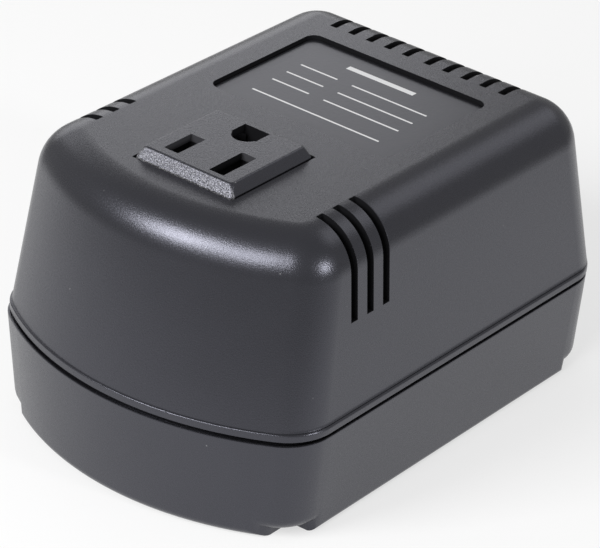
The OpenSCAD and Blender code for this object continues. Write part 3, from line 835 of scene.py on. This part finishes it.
@dataclass(frozen=True)
class RolledMetal(Finish):
    """Rolled or plated metal with fine lines along one axis."""

    stretch: Triple = (1.0, 1.0, 40.0)
    line_scale: float = 900.0
    tone_spread: float = 0.15
    rough_spread: float = 0.08
    relief: float = 0.00002
    relief_share: float = 0.4

    def _inputs(self, sheet: NodeSheet, effects: Effects) -> Inputs:
        """Joins the nodes that colour and roughen the surface.

        Args:
            sheet: The material's sheet.
            effects: Shared node groups.

        Returns:
            What goes into the shader.
        """
        coords = sheet.add("ShaderNodeMapping", {"Vector": sheet.object_coords(), "Scale": self.stretch})
        noise = {"Vector": coords.outputs[0], "Scale": self.line_scale, "Detail": 4.0}
        lines = sheet.add("ShaderNodeTexNoise", noise).outputs[0]
        low, high = self.roughness - self.rough_spread, self.roughness + self.rough_spread
        return {
            "Base Color": sheet.mix(lines, *self._tones(self.tone_spread)),
            "Roughness": sheet.swing(lines, low, high),
            "Normal": sheet.bump(lines, self.relief, self.relief_share), "Metallic": 1.0,
        }


@dataclass(frozen=True)
class Banded(Finish):
    """Stacked plates or wound wire: bands that repeat along one axis."""

    axis: Axis = Axis.Z
    pitch: float = 0.0005
    depth: float = 0.0001
    depth_share: float = 0.6
    metallic: float = 0.0
    tone_spread: float = 0.25

    def _inputs(self, sheet: NodeSheet, effects: Effects) -> Inputs:
        """Joins the nodes that colour and roughen the surface.

        Args:
            sheet: The material's sheet.
            effects: Shared node groups.

        Returns:
            What goes into the shader.
        """
        wave = sheet.math("SINE", sheet.math("MULTIPLY", sheet.axis(self.axis), 2 * math.pi / self.pitch))
        level = sheet.ramp(wave, -1.0, 1.0)
        return {
            "Base Color": sheet.mix(level, *self._tones(self.tone_spread)), "Roughness": self.roughness,
            "Normal": sheet.bump(level, self.depth, self.depth_share), "Metallic": self.metallic,
        }


@dataclass(frozen=True)
class Lip:
    """Top of a raised band: a rounded edge, a slope with a fine groove in it, and a hollow up to the wall."""

    foot_z: float
    tilt_deg: float
    edge_r: float
    blend: float
    groove: float = 0.0
    groove_rise: float = 0.6525
    groove_half: float = 0.03

    def step(self, z: float, wall_step: float) -> float:
        """Gives how far the surface lies behind the band's face.

        Args:
            z: Height.
            wall_step: How far the wall lies behind the face at that height.

        Returns:
            The distance.
        """
        turn, r, rise = math.radians(self.tilt_deg), self.edge_r, z - self.foot_z
        if rise <= 0.0:
            return 0.0
        over = rise - r * math.sin(turn)
        if over < 0.0:
            slope = r - math.sqrt(r * r - rise * rise)
        else:
            slope = r * (1 - math.cos(turn)) + over * math.tan(turn)
        near = max(self.blend - abs(slope - wall_step), 0.0) / self.blend
        dip = self.groove if abs(rise - self.groove_rise) < self.groove_half else 0.0
        return max(min(slope, wall_step) - near * near * self.blend / 4, 0.0) + dip


@dataclass(frozen=True)
class VentRow:
    """A row of vents: number, first place, pitch, inner end, length, width, corner, lower end and axis."""

    count: int
    first: float
    pitch: float
    inner: float
    length: float
    width: float
    corner: float
    low: float
    along: Axis

    def cutters(self, side: int, top: float) -> list[Solid]:
        """Makes the row's cutters.

        Args:
            side: Side of the case, -1 or 1.
            top: Height that they reach.

        Returns:
            The cutters.
        """
        middle, made = self.inner + self.length / 2, []
        for k in range(self.count):
            at = self.first + self.pitch * k
            spot = (side * at, middle, self.width, self.length)
            if self.along is Axis.X:
                spot = (side * middle, at, self.length, self.width)
            made.append(prism(rounded_rect(*spot, self.corner, 0.0, steps=2), self.low, top))
        return made


@dataclass
class TopCover:
    """Upper shell of the case: drafted walls, a rounded top edge and a raised band at its foot."""

    outline: CaseOutline
    band_z: float = 24.37
    band_top: float = 27.0
    foot_r: float = 0.2
    side_lip: Lip = Lip(25.55, 38.0, 0.6, 0.42, 0.28)
    front_lip: Lip = Lip(25.85, 75.0, 0.3, 0.05)
    lip_pitch: float = 0.045
    lip_rings: int = 32
    wall_rises: tuple[float, ...] = (0.9, 6.0, 12.0, 20.0)
    top_z: float = 66.0
    wall: float = 2.4
    band_step: float = 0.6
    ledge_side: float = 0.1
    ledge_front: float = 0.5
    side_draft: float = 4.5
    front_draft: float = 9.7
    rear_draft: float = 11.3
    rear_out: float = 0.45
    fillet: float = 10.0
    fillet_steps: int = 18
    rebate_in: float = 1.8
    rebate_h: float = 2.0
    rebate_step: float = 0.01
    inner_rise: float = 1.0
    rim_r: float = 0.2
    side_vents: VentRow = VentRow(3, -29.2, 5.08, 29.1, 20.0, 2.1, 0.25, 46.0, Axis.X)
    rear_vents: VentRow = VentRow(5, 2.95, 4.98, 39.5, 30.0, 1.85, 0.2, 50.0, Axis.Y)
    cut_top: float = 70.0
    cut_over: float = 2.0
    columns: list[float] = field(default_factory=lambda: even_columns((26, 14, 5, 14, 4)))

    def _edge(self, z: float, top: float, r: float, draft: float) -> float:
        """Gives the inset of the rounded top edge.

        Args:
            z: Height.
            top: Height of the top.
            r: Radius of the edge.
            draft: The wall's draft in degrees.

        Returns:
            The inset.
        """
        a, u = math.radians(draft), z - top + r
        if u <= r * math.sin(a):
            return 0.0
        return r / math.cos(a) - u * math.tan(a) - math.sqrt(max(r * r - u * u, 0.0))

    def insets(self, z: float, wall: float = 0.0) -> Insets:
        """Gives the wall's insets at a height.

        Args:
            z: Height.
            wall: Depth under the outer face.

        Returns:
            The insets.
        """
        top, r = self.top_z - wall, self.fillet - wall

        def run(ledge: float, draft: float, lip: Lip, out: float = 0.0) -> float:
            """Returns one run's inset."""
            line = self.band_step - out + (z - self.band_top) * math.tan(math.radians(draft))
            return ledge + wall + lip.step(z, max(line, 0.0)) + self._edge(z, top, r, draft)

        return Insets(
            run(self.ledge_side, self.side_draft, self.side_lip),
            run(self.ledge_front, self.front_draft, self.front_lip),
            run(self.ledge_side, self.rear_draft, self.side_lip, self.rear_out),
            wall + self.side_lip.step(z, self.band_step) + self._edge(z, top, r, self.side_draft),
        )

    def _band(self, step: float) -> Insets:
        """Returns the band's face moved in by a step."""
        return Insets(self.ledge_side + step, self.ledge_front + step, self.ledge_side + step, step)

    def _fillet_heights(self, wall: float) -> list[float]:
        """Gives the heights of the rounded edge's rings.

        Args:
            wall: Depth under the outer face.

        Returns:
            The heights, upwards.
        """
        top, r, n = self.top_z - wall, self.fillet - wall, self.fillet_steps
        low = min(self.side_draft, self.front_draft, self.rear_draft)
        turns = [math.radians(low + (90.0 - low) * i / n) for i in range(n + 1)]
        return [top - r + r * math.sin(a) for a in turns]

    def _loop(self, ins: Insets, z: float) -> Loop:
        """Returns a ring of the cover."""
        return both_halves([self.outline.point(ins, u) + Vector((0, 0, z)) for u in self.columns])

    def shell(self) -> Solid:
        """Makes the outside of the cover.

        Returns:
            A solid that fills it.
        """
        r, low = self.foot_r, self.band_z
        foot = ((r, low), (MID_ROUND * r, low + MID_ROUND * r), (0.0, low + r))
        rings = [self._loop(self._band(step), z) for step, z in foot]
        heights = [self.side_lip.foot_z + self.lip_pitch * i for i in range(self.lip_rings)]
        heights += [self.band_top + rise for rise in self.wall_rises] + self._fillet_heights(0.0)
        return ring_solid(rings + [self._loop(self.insets(z), z) for z in heights])

    def hollow(self) -> Solid:
        """Makes the inside of the cover.

        Returns:
            A cutter that fills it.
        """
        rebate, roof = self._band(self.rebate_in), self.band_z + self.rebate_h
        rings = [self._loop(rebate, z) for z in (self.band_z - self.cut_over, roof)]
        starts = [roof + self.rebate_step, self.band_top + self.inner_rise]
        for z in starts + self._fillet_heights(self.wall):
            rings.append(self._loop(self.insets(z, self.wall), z))
        return ring_solid(rings, Skin.INSIDE)

    def vents(self) -> Solid:
        """Returns the side and rear vents as cutters."""
        rows = (self.side_vents, self.rear_vents)
        return joined([slot for side in (-1, 1) for row in rows for slot in row.cutters(side, self.cut_top)])

    def build(self, shop: Workshop, finishes: Sequence[Material], label: LabelPlate, outlet: Outlet) -> None:
        """Builds and dresses the cover.

        Args:
            shop: Where meshes are cut.
            finishes: Its outer material, and its inner one, which also covers the cut faces of the vents,
                recess and hole as painted shade.
            label: The label that it has a recess for.
            outlet: The outlet that it has a hole for.
        """
        bm = shop.carve(self.shell(), self.hollow())
        bm = shop.carve(bm, self.vents())
        bm = shop.carve(bm, joined([label.recess(), outlet.hole()]))
        shop.round_rims(bm, self.rim_r)
        shop.piece("top_cover_moulding", bm, finishes, ["top_cover"])


@dataclass(frozen=True)
class RailEnd:
    """An end of a foot rail: how far it reaches along an axis, and whether the rail lies before it."""

    axis: Triple
    reach: float
    before: bool
    search: Pair


@dataclass(frozen=True)
class TraySpan:
    """A stretch of the tray's edge: its columns, and the rounding of its rail or of the notch."""

    columns: int
    edge_r: float
    on_rail: bool = True


@dataclass
class BaseTray:
    """Lower shell of the case: a drafted wall on foot rails with notches at the corners."""

    outline: CaseOutline
    top_z: float = 23.7
    draft: float = 4.9
    rim_r: float = 0.28
    rim_w: float = 0.55
    rim_drop: float = 0.1
    rim_mid: float = 0.08
    rail_h: float = 2.0
    rail_w: float = 5.0
    rail_r: float = 0.4
    rail_lean: float = 0.15
    rail_corner: float = 2.3
    notch_gap: float = 0.06
    floor_z: float = 4.5
    wall: float = 3.4
    tongue_z: float = 26.2
    tongue: Pair = (2.3, 3.1)
    groove_z: float = 22.2
    groove: Pair = (0.8, 2.2)
    wall_rings: Pair = (13.0, 6.0)
    edge_steps: int = 6
    screw_x: float = 29.0
    screw_y: Pair = (-40.0, 47.3)
    tube_r: float = 4.8
    tube_z: Pair = (3.5, 20.0)
    well_r: float = 3.7
    well_z: Pair = (-1.0, 8.0)
    cut_rim_r: float = 0.2
    spans: tuple[TraySpan, ...] = (
        TraySpan(26, 2.1), TraySpan(12, 2.75, False), TraySpan(26, 1.5), TraySpan(12, 2.75, False),
        TraySpan(6, 1.5),
    )
    ends: tuple[RailEnd, ...] = (
        RailEnd((1, 0, 0), 33.9, True, (0.5, 1.99)), RailEnd((0, 1, 0), -38.6, False, (1.0, 2.9)),
        RailEnd((0, 1, 0), 49.9, True, (2.1, 3.99)), RailEnd((-1, 0, 0), -29.6, False, (3.01, 4.9)),
    )

    def insets(self, z: float, t: float) -> Insets:
        """Returns the insets at a height and a depth under the outer face."""
        d = (self.top_z - z) * math.tan(math.radians(self.draft))
        return Insets(d + t, d + t, t, t + d / 2)

    def _drawn_back(self, t: float) -> float:
        """Returns how far a rail's rounded end draws back at a depth across the rail."""
        r = self.rail_corner
        return r - math.sqrt(max(r * r - max(r - t, 0.0) ** 2, 0.0))

    def _half(self, span: TraySpan, k: int, z: float, t: float) -> Loop:
        """Gives one span's points of a ring.

        Args:
            span: The stretch.
            k: Its number.
            z: Height.
            t: Depth under the outer face.

        Returns:
            Its points, from the front to the rear.
        """
        ins = self.insets(z, t)
        stops = []
        for end in self.ends[max(k - 1, 0):k + 1]:
            back = self._drawn_back(t) if end.before else -self._drawn_back(t)
            split = -self.notch_gap if end.before == span.on_rail else self.notch_gap
            stops.append(self.outline.seek(ins, Vector(end.axis), end.reach - back + split, *end.search))
        if k == 0:
            stops.insert(0, 0.0)
        if k == len(self.ends):
            stops.append(float(len(self.spans)))
        first, last = stops
        at = [first + (last - first) * i / span.columns for i in range(span.columns + 1)]
        return [self.outline.point(ins, u) + Vector((0, 0, z)) for u in at]

    def _ring(self, rule: Callable[[TraySpan], Pair]) -> Loop:
        """Gives a ring round the whole tray.

        Args:
            rule: Each span's height and depth.

        Returns:
            The ring.
        """
        right: Loop = []
        for k, span in enumerate(self.spans):
            right += self._half(span, k, *rule(span))
        return both_halves(right)

    def _edge_ring(self, i: int) -> Loop:
        """Gives a ring of the rounded lower edge.

        Args:
            i: Its number, from the wall down.

        Returns:
            The ring.
        """
        a = math.pi / 2 * i / self.edge_steps

        def rule(span: TraySpan) -> Pair:
            """Returns the rounding's height and depth."""
            foot = 0.0 if span.on_rail else self.rail_h
            return foot + span.edge_r * (1 - math.sin(a)), span.edge_r * (1 - math.cos(a))

        return self._ring(rule)

    def _foot_ring(self, rise: float, t: float) -> Loop:
        """Returns a ring across the rails' underside, at the notch level off them."""
        return self._ring(lambda span: (rise if span.on_rail else self.rail_h, t))

    def solid(self) -> Solid:
        """Makes the whole tray without its holes.

        Returns:
            The solid.
        """
        z, w, r, mid = self.top_z, self.rail_w, self.rail_r, MID_ROUND * self.rail_r
        inside = [(self.floor_z, self.wall), (z, self.wall)]
        tongue = [(self.tongue_z, self.tongue[1]), (self.tongue_z, self.tongue[0])]
        groove = [(self.groove_z, self.groove[1]), (self.groove_z, self.groove[0])]
        rim = [(z - self.rim_drop, self.rim_w + self.rim_drop), (z, self.rim_w), (z, self.rim_r)]
        rim += [(z - self.rim_mid, self.rim_mid), (z - self.rim_r, 0.0)]
        outside = [(height, 0.0) for height in self.wall_rings]
        rings = [self._ring(lambda span, at=at: at) for at in inside + tongue + groove + rim + outside]
        rings += [self._edge_ring(i) for i in range(self.edge_steps + 1)]
        foot = ((0.0, w - r), (mid, w - mid), (r, w), (self.rail_h, w + self.rail_lean))
        return ring_solid(rings + [self._foot_ring(*at) for at in foot])

    def screw_spots(self) -> list[Pair]:
        """Returns where the case's screws stand in X and Y."""
        return [(sx * self.screw_x, y) for sx in (-1, 1) for y in self.screw_y]

    def build(self, shop: Workshop, finishes: Sequence[Material], bush: CordBush) -> None:
        """Builds and dresses the tray.

        Args:
            shop: Where meshes are cut.
            finishes: Its outer material, and its inner one, which also covers the cut faces of the wells and
                bush seat as painted shade.
            bush: The bush that it has a hole for.
        """
        places = [Matrix.Translation((*spot, 0)) for spot in self.screw_spots()]
        tubes = [cylinder(self.tube_r, *self.tube_z, place, Skin.OUTSIDE) for place in places]
        wells = [cylinder(self.well_r, *self.well_z, place, Skin.CUT) for place in places]
        bm = shop.fuse(self.solid(), joined(tubes))
        bm = shop.carve(bm, joined(wells + [bush.hole()]))
        shop.round_rims(bm, self.cut_rim_r)
        shop.piece("base_tray_moulding", bm, finishes, ["base_tray"])


@dataclass
class Outlet:
    """Raised three-pin outlet with bevelled sides."""

    y: float = -23.875
    face_w: float = 23.2
    face_l: float = 22.95
    bevel: float = 1.25
    corner: float = 0.8
    foot_z: float = 66.0
    rise: float = 2.55
    skirt: float = 4.4
    foot_edge: Pair = (0.04, 0.15)
    face_edge: tuple[Pair, ...] = ((-0.17, 0.4), (-0.06, 0.18), (0.12, 0.05), (0.35, 0.0))
    face_t: float = 1.65
    back_in: float = 1.9
    back_corner: float = 0.5
    clear: float = 0.42
    hole_corner: float = 0.15
    hole_z: Pair = (62.0, 68.0)
    cut_z: Pair = (60.0, 70.0)
    blade_y: float = -29.0
    blade_x: float = 6.3
    slot_w: float = 3.75
    slot_corner: float = 0.2
    left_slot: Pair = (0.05, 8.4)
    right_slot: Pair = (0.3, 10.3)
    earth_r: float = 3.1
    earth_half_w: float = 3.3
    earth_flat: float = 3.6
    earth_back: float = 11.87
    earth_shoulder: float = 0.95
    earth_steps: int = 20

    def _plan(self, inset: float, r: float, z: float, steps: int = 6) -> Loop:
        """Returns a rectangle moved in from the block's foot."""
        w, l = self.face_w + 2 * (self.bevel - inset), self.face_l + 2 * (self.bevel - inset)
        return rounded_rect(0, self.y, w, l, r, z, steps)

    def hole(self) -> Solid:
        """Returns the cutter for the hole in the cover."""
        return prism(self._plan(-self.clear, self.hole_corner, 0.0, steps=2), *self.hole_z)

    def _earth_plan(self) -> Loop:
        """Gives the plan of the earth hole: a square back on shoulders, and a round front.

        Returns:
            The plan, anticlockwise.
        """
        cy, r, steps = self.blade_y + self.earth_back, self.earth_r, self.earth_steps
        start = math.asin(self.earth_shoulder / r)
        half, front, back = self.earth_half_w, cy - self.earth_shoulder, cy + self.earth_flat
        arc = [math.pi + start + (math.pi - 2 * start) * i / steps for i in range(steps + 1)]
        points = [Vector((r * math.cos(a), cy + r * math.sin(a), 0)) for a in arc]
        square = ((half, front), (half, back), (-half, back), (-half, front))
        return points + [Vector((x, y, 0)) for x, y in square]

    def build(self, shop: Workshop, finishes: Sequence[Material]) -> None:
        """Builds and dresses the outlet.

        Args:
            shop: Where meshes are cut.
            finishes: Its materials outside, on the slots' walls (paler, a painted light) and inside
                (near-black, a painted shade).
        """
        foot, top, under = self.foot_z, self.foot_z + self.rise, self.foot_z + self.rise - self.face_t
        lean, lift = self.foot_edge
        sides = [(0.0, foot - self.skirt), (0.0, foot), (lean, foot + lift)]
        sides += [(self.bevel + inset, top - drop) for inset, drop in self.face_edge]
        plans = [self._earth_plan()]
        for x, (shift, length) in ((self.blade_x, self.right_slot), (-self.blade_x, self.left_slot)):
            y, w, r = self.blade_y + shift, self.slot_w, self.slot_corner
            plans.insert(0, rounded_rect(x, y, w, length, r, 0.0, steps=3))
        room = self._plan(self.bevel + self.back_in, self.back_corner, 0.0)
        back = prism(room, self.cut_z[0], under, Skin.INSIDE)
        bm = shop.carve(ring_solid([self._plan(inset, self.corner, z) for inset, z in sides]), back)
        bm = shop.carve(bm, joined([prism(plan, *self.cut_z) for plan in plans]))
        # Slot walls below the face plate take the inside finish: painted shade for the dark cavity.
        for face in bm.faces:
            if face.material_index == Skin.CUT and face.calc_center_median().z < under:
                face.material_index = Skin.INSIDE
        shop.piece("outlet_block", bm, finishes, ["socket_body"])


@dataclass
class LabelPlate:
    """Blank label in a shallow recess of the cover's top."""

    y: float = 16.35
    w: float = 47.8
    l: float = 35.1
    r: float = 2.5
    top_z: float = 66.0
    depth: float = 1.2
    thick: float = 0.3
    edge: float = 0.1
    gap: float = 0.35
    cut_over: float = 2.0
    corner_steps: int = 10

    def recess(self) -> Solid:
        """Returns the cutter for the recess."""
        plan = rounded_rect(0, self.y, self.w, self.l, self.r, 0, self.corner_steps)
        return prism(plan, self.top_z - self.depth, self.top_z + self.cut_over)

    def build(self, shop: Workshop, finish: Material) -> None:
        """Builds and dresses the label.

        Args:
            shop: Where meshes are made into pieces.
            finish: Its material.
        """
        low, rings = self.top_z - self.depth, []
        for inset, z in ((0.0, low), (0.0, low + self.thick - self.edge), (self.edge, low + self.thick)):
            g = 2 * (self.gap + inset)
            r = self.r - self.gap
            rings.append(rounded_rect(0, self.y, self.w - g, self.l - g, r, z, self.corner_steps))
        shop.piece("label_film", ring_solid(rings), [finish], ["rating_plate"])


@dataclass
class CordBush:
    """Rubber bush in the rear wall. Depths are negative, from the wall's face."""

    rear_y: float = 58.3
    z: float = 13.0
    hole_r: float = 3.4
    body_r: float = 5.5
    flange_r: float = 7.5
    clear: float = 0.1
    seat_z: Pair = (-6.0, 2.0)
    flange_back: float = -2.0
    flange_face: float = -0.5
    flange_edge: tuple[Pair, ...] = ((0.0, 0.4), (0.15, 0.12), (0.5, 0.0))
    mouth_edge: tuple[Pair, ...] = ((1.4, 0.0), (0.7, 0.15), (0.2, 0.45), (0.0, 0.9))
    barb_end: float = -5.5
    barb_back: float = -3.5
    barb_out: float = 1.2
    barb_r: float = 0.4
    neck_z: float = -3.4
    steps: int = 48

    @property
    def place(self) -> Matrix:
        """Returns the axis of the bush, pointing out of the rear wall."""
        return Matrix.Translation((0, self.rear_y, self.z)) @ Matrix.Rotation(-math.pi / 2, 4, "X")

    def hole(self) -> Solid:
        """Makes the cutter for the bush's seat in the wall.

        Returns:
            The cutter.
        """
        seat, bore = self.flange_r + self.clear, self.body_r + self.clear
        ledge, (deep, out) = self.flange_back - self.clear, self.seat_z
        profile = [(0, deep), (bore, deep), (bore, ledge), (seat, ledge), (seat, out), (0, out)]
        return turned(profile, self.steps, self.place, Skin.CUT)

    def build(self, shop: Workshop, finish: Material) -> None:
        """Builds and dresses the bush.

        Args:
            shop: Where meshes are made into pieces.
            finish: Its material.
        """
        h, b, f = self.hole_r, self.body_r, self.flange_r
        end, back, face, tip = self.barb_end, self.flange_back, self.flange_face, b + self.barb_out
        profile = [(h, end), (tip - self.barb_r, end), (tip, end + self.barb_r), (tip, self.barb_back)]
        profile += [(b, self.neck_z), (b, back), (f, back)]
        profile += [(f - inset, face - depth) for inset, depth in self.flange_edge]
        profile += [(h + out, face - depth) for out, depth in self.mouth_edge]
        bm = turned(profile, self.steps, self.place)
        shop.piece("cord_bush_rubber", bm, [finish], ["cord_bush"])


@dataclass
class CaseScrews:
    """Cross-head screws in the base's wells."""

    tray: BaseTray
    seat_z: float = 8.0
    head_r: float = 3.4
    head_t: float = 2.4
    shank_r: float = 1.75
    shank_top: float = 31.0
    point_h: float = 2.0
    head_edge: tuple[Pair, ...] = ((1.3, 0.0), (0.5, 0.25), (0.12, 0.7), (0.0, 1.2))
    cross: Pair = (1.0, 4.2)
    cross_corner: float = 0.2
    cross_depth: float = 1.3
    cut_over: float = 1.0
    steps: int = 32

    def build(self, shop: Workshop, finish: Material) -> None:
        """Builds and dresses the screws.

        Args:
            shop: Where meshes are cut.
            finish: Their material.
        """
        face, r, seat, shank = self.seat_z - self.head_t, self.head_r, self.seat_z, self.shank_r
        profile = [(0, face)] + [(r - inset, face + up) for inset, up in self.head_edge]
        profile += [(r, seat), (shank, seat), (shank, self.shank_top - self.point_h), (0, self.shank_top)]
        spots = self.tray.screw_spots()
        bm = joined([turned(profile, self.steps, Matrix.Translation((*spot, 0))) for spot in spots])
        low, high = face - self.cut_over, face + self.cross_depth
        for w, l in (self.cross, self.cross[::-1]):
            plans = [rounded_rect(*spot, w, l, self.cross_corner, 0.0, steps=2) for spot in spots]
            bm = shop.carve(bm, joined([prism(plan, low, high) for plan in plans]))
        shop.piece("case_screw_set", bm, [finish], ["case_screws"])


@dataclass(frozen=True)
class Softbox:
    """A soft studio lamp aimed at the object: its bearing from the rear, its height angle and distance."""

    name: str
    bearing: float
    rise: float
    distance: float
    size: Pair
    power: float
    aim: Triple = (0.0, 0.0, 0.035)

    def build(self) -> None:
        """Adds the lamp."""
        light = bpy.data.lights.new(self.name, "AREA")
        light.shape, light.size, light.size_y, light.energy = "RECTANGLE", *self.size, self.power
        b, e = math.radians(self.bearing), math.radians(self.rise)
        away = Vector((math.sin(b) * math.cos(e), math.cos(b) * math.cos(e), math.sin(e)))
        lamp = linked(self.name, light)
        lamp.location = Vector(self.aim) + away * self.distance
        lamp.rotation_mode = "QUATERNION"
        lamp.rotation_quaternion = (-away).to_track_quat("-Z", "Y")


@dataclass(frozen=True)
class Studio:
    """Floor, world, lamps and camera."""

    azimuth: float = 37.70614
    elevation: float = 29.71502
    roll: float = 3.52027
    centre: Triple = (376.2, -483.1, 378.5)
    focal_px: float = 3312.986
    frame_px: int = 600
    sensor: float = 36.0
    clip: Pair = (0.01, 20.0)
    ambient: float = 0.38
    floor_half: float = 4.0
    floor_glow: float = 0.65
    floor_white: Color = (0.93, 0.93, 0.93, 1.0)
    # Painted shade of the far floor.
    floor_painted_shade: Color = (0.35, 0.35, 0.35, 1.0)
    white_spot: Triple = (-0.05, 0.07, 0.0)
    white_r: float = 0.19
    fade_r: float = 0.37
    lamps: tuple[Softbox, ...] = (
        Softbox("front_left_softbox", -160.0, 34.5, 1.0, (0.4, 0.38), 7.3),
        Softbox("front_softbox", 168.0, 34.0, 1.0, (0.3, 0.42), 4.3),
        Softbox("right_softbox", 86.0, 17.0, 1.0, (0.12, 0.2), 2.6),
        Softbox("rear_left_softbox", -56.0, 20.0, 0.8, (0.65, 0.36), 0.92),
        Softbox("rear_softbox", 18.0, 42.0, 1.2, (0.6, 0.5), 0.75),
    )

    def camera(self) -> None:
        """Sets the camera at the photograph's viewing angle."""
        a, e, r = map(math.radians, (self.azimuth, self.elevation, self.roll))
        back = Vector((math.sin(a) * math.cos(e), -math.cos(a) * math.cos(e), math.sin(e)))
        level = Vector((math.cos(a), math.sin(a), 0.0))
        rise = back.cross(level)
        right = math.cos(r) * level + math.sin(r) * rise
        up = math.cos(r) * rise - math.sin(r) * level
        data = bpy.data.cameras.new("camera")
        data.sensor_fit, data.sensor_width = "HORIZONTAL", self.sensor
        data.lens = self.focal_px / self.frame_px * self.sensor
        data.clip_start, data.clip_end = self.clip
        obj = linked("camera", data)
        turn = Matrix((right, up, back)).transposed().to_4x4()
        obj.matrix_world = Matrix.Translation(Vector(self.centre) * MM) @ turn
        bpy.context.scene.camera = obj

    def world(self) -> None:
        """Lights the scene softly from all round."""
        world = bpy.data.worlds.new("studio")
        sheet = empty_sheet(world)
        sky = sheet.add("ShaderNodeBackground", {"Color": (1.0, 1.0, 1.0, 1.0), "Strength": self.ambient})
        sheet.add("ShaderNodeOutputWorld", {"Surface": sky.outputs[0]})
        bpy.context.scene.world = world

    def floor(self) -> None:
        """Lays a pale floor under the object, which fades to grey further out: painted shade for light
        falling off away from the lamps.
        """
        mat = bpy.data.materials.new("pale_floor")
        sheet = empty_sheet(mat)
        spot = {0: sheet.object_coords(), 1: self.white_spot}
        reach = sheet.add("ShaderNodeVectorMath", spot, operation="DISTANCE").outputs["Value"]
        # Painted shade: the floor grows darker beyond white_r, so the walls reflect a darker floor.
        pale = sheet.mix(sheet.ramp(reach, self.white_r, self.fade_r), self.floor_white, self.floor_painted_shade)
        matte = sheet.add("ShaderNodeBsdfDiffuse", {"Color": pale})
        glow = sheet.add("ShaderNodeEmission", {"Color": pale, "Strength": 1.0})
        path = sheet.add("ShaderNodeLightPath").outputs
        seen = sheet.math("MAXIMUM", path["Is Camera Ray"], path["Is Glossy Ray"])
        seen = sheet.math("MAXIMUM", seen, path["Is Transmission Ray"])
        share = sheet.math("MULTIPLY", seen, self.floor_glow)
        mixed = sheet.add("ShaderNodeMixShader", {0: share, 1: matte.outputs[0], 2: glow.outputs[0]})
        sheet.add("ShaderNodeOutputMaterial", {"Surface": mixed.outputs[0]})
        bm = bmesh.new()
        bmesh.ops.create_grid(bm, x_segments=1, y_segments=1, size=self.floor_half)
        mesh = meshed("floor", bm)
        mesh.materials.append(mat)
        obj = linked("floor", mesh)

    def build(self) -> None:
        """Builds the whole studio."""
        self.camera()
        self.world()
        self.floor()
        for lamp in self.lamps:
            lamp.build()
        bpy.context.scene.view_settings.view_transform = "Standard"


def bare_plastic(name: str, color: Triple, roughness: float, specular: float = 0.5) -> Finish:
    """Returns plain plastic without dust."""
    return MouldedPlastic(name, color, roughness, grain=Grain.PLAIN, specular=specular, dust_share=0.0)


def dress_inner_nodes(effects: Effects) -> None:
    """Gives the CAD nodes that stay their own finishes.

    Args:
        effects: Shared node groups.
    """
    rows: tuple[tuple[Finish, str], ...] = (
        (RolledMetal("plated_steel", (0.6, 0.6, 0.61), 0.35),
         "socket_screws core_bolts core_nuts bracket_screws block_screw front_bracket rear_bracket"),
        (RolledMetal("contact_brass", (0.7, 0.5, 0.2), 0.32),
         "hot_contact neutral_contact ground_contact terminal_screws"),
        (RolledMetal("tinned_tag", (0.72, 0.72, 0.7), 0.3), "bobbin_tags"),
        (Banded("core_plates", (0.3, 0.31, 0.33), 0.45, axis=Axis.Y, metallic=0.8),
         "e_laminations i_laminations"),
        (Banded("enamelled_wire", (0.45, 0.17, 0.06), 0.3, pitch=0.0006, metallic=0.4),
         "primary_winding secondary_winding"),
        (Banded("winding_tape", (0.75, 0.55, 0.08), 0.35, pitch=0.008, depth=0.00003),
         "primary_tape secondary_tape"),
        (bare_plastic("pale_nylon", (0.82, 0.8, 0.74), 0.5), "coil_bobbin terminal_block thermal_cutout"),
        (bare_plastic("carrier_black", BLACK_AND_PAINTED_SHADE, 0.7, 0.1), "contact_carrier"),
        (bare_plastic("blue_wire", (0.05, 0.12, 0.45), 0.35), "cutout_link neutral_lead"),
        (bare_plastic("brown_wire", (0.18, 0.08, 0.03), 0.35), "live_lead"),
        (bare_plastic("black_wire", (0.02, 0.02, 0.02), 0.35), "output_hot_lead"),
        (bare_plastic("white_wire", (0.75, 0.75, 0.75), 0.35), "output_neutral_lead"),
        (bare_plastic("green_wire", (0.1, 0.35, 0.05), 0.35), "earth_lead"),
    )
    for finish, nodes in rows:
        mat = finish.material(effects)
        for node in nodes.split():
            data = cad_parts[node].data
            data.materials.clear()
            data.materials.append(mat)
            LOG.info("%s: %s", node, finish.name)


def main() -> None:
    """Builds the pieces in order and sets the studio."""
    logging.basicConfig(level=logging.INFO, format="%(name)s: %(message)s")
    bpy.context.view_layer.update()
    effects, shop = Effects(), Workshop()
    charcoal, grain_with_painted_glint, film, rubber, zinc, inside, slot_wall_painted_light = (finish.material(effects) for finish in (
        MouldedPlastic("charcoal_moulding", CHARCOAL, 0.28, specular=0.9),
        # The outlet's material carries painted glints on its front bevel.
        OutletPlastic("outlet_moulding", CHARCOAL, 0.27, grain=Grain.COARSE, specular=1.0),
        LabelFilm("label_film", CHARCOAL, 0.28),
        MouldedPlastic("bush_rubber", (0.018, 0.018, 0.018), 0.65, grain=Grain.PLAIN),
        RolledMetal("zinc_screw", (0.55, 0.55, 0.56), 0.35),
        # Inner and cut faces: near-black matte plastic as painted shade for hollows and recess walls.
        bare_plastic("inside_painted_shade", BLACK_AND_PAINTED_SHADE, 0.75, 0.1),
        # Slot walls of the face plate: paler plastic as painted light on walls lit by the lamps.
        bare_plastic("slot_wall_painted_light", (0.04, 0.04, 0.044), 0.5),
    ))
    label, outlet, bush, tray = LabelPlate(), Outlet(), CordBush(), BaseTray(CaseOutline())
    TopCover(CaseOutline(rear_corner=9.9)).build(shop, (charcoal, inside), label, outlet)
    tray.build(shop, (charcoal, inside), bush)
    outlet.build(shop, (grain_with_painted_glint, slot_wall_painted_light, inside))
    label.build(shop, film)
    bush.build(shop, rubber)
    CaseScrews(tray).build(shop, zinc)
    shop.clear()
    dress_inner_nodes(effects)
    Studio().build()


if __name__ == "__main__":
    main()
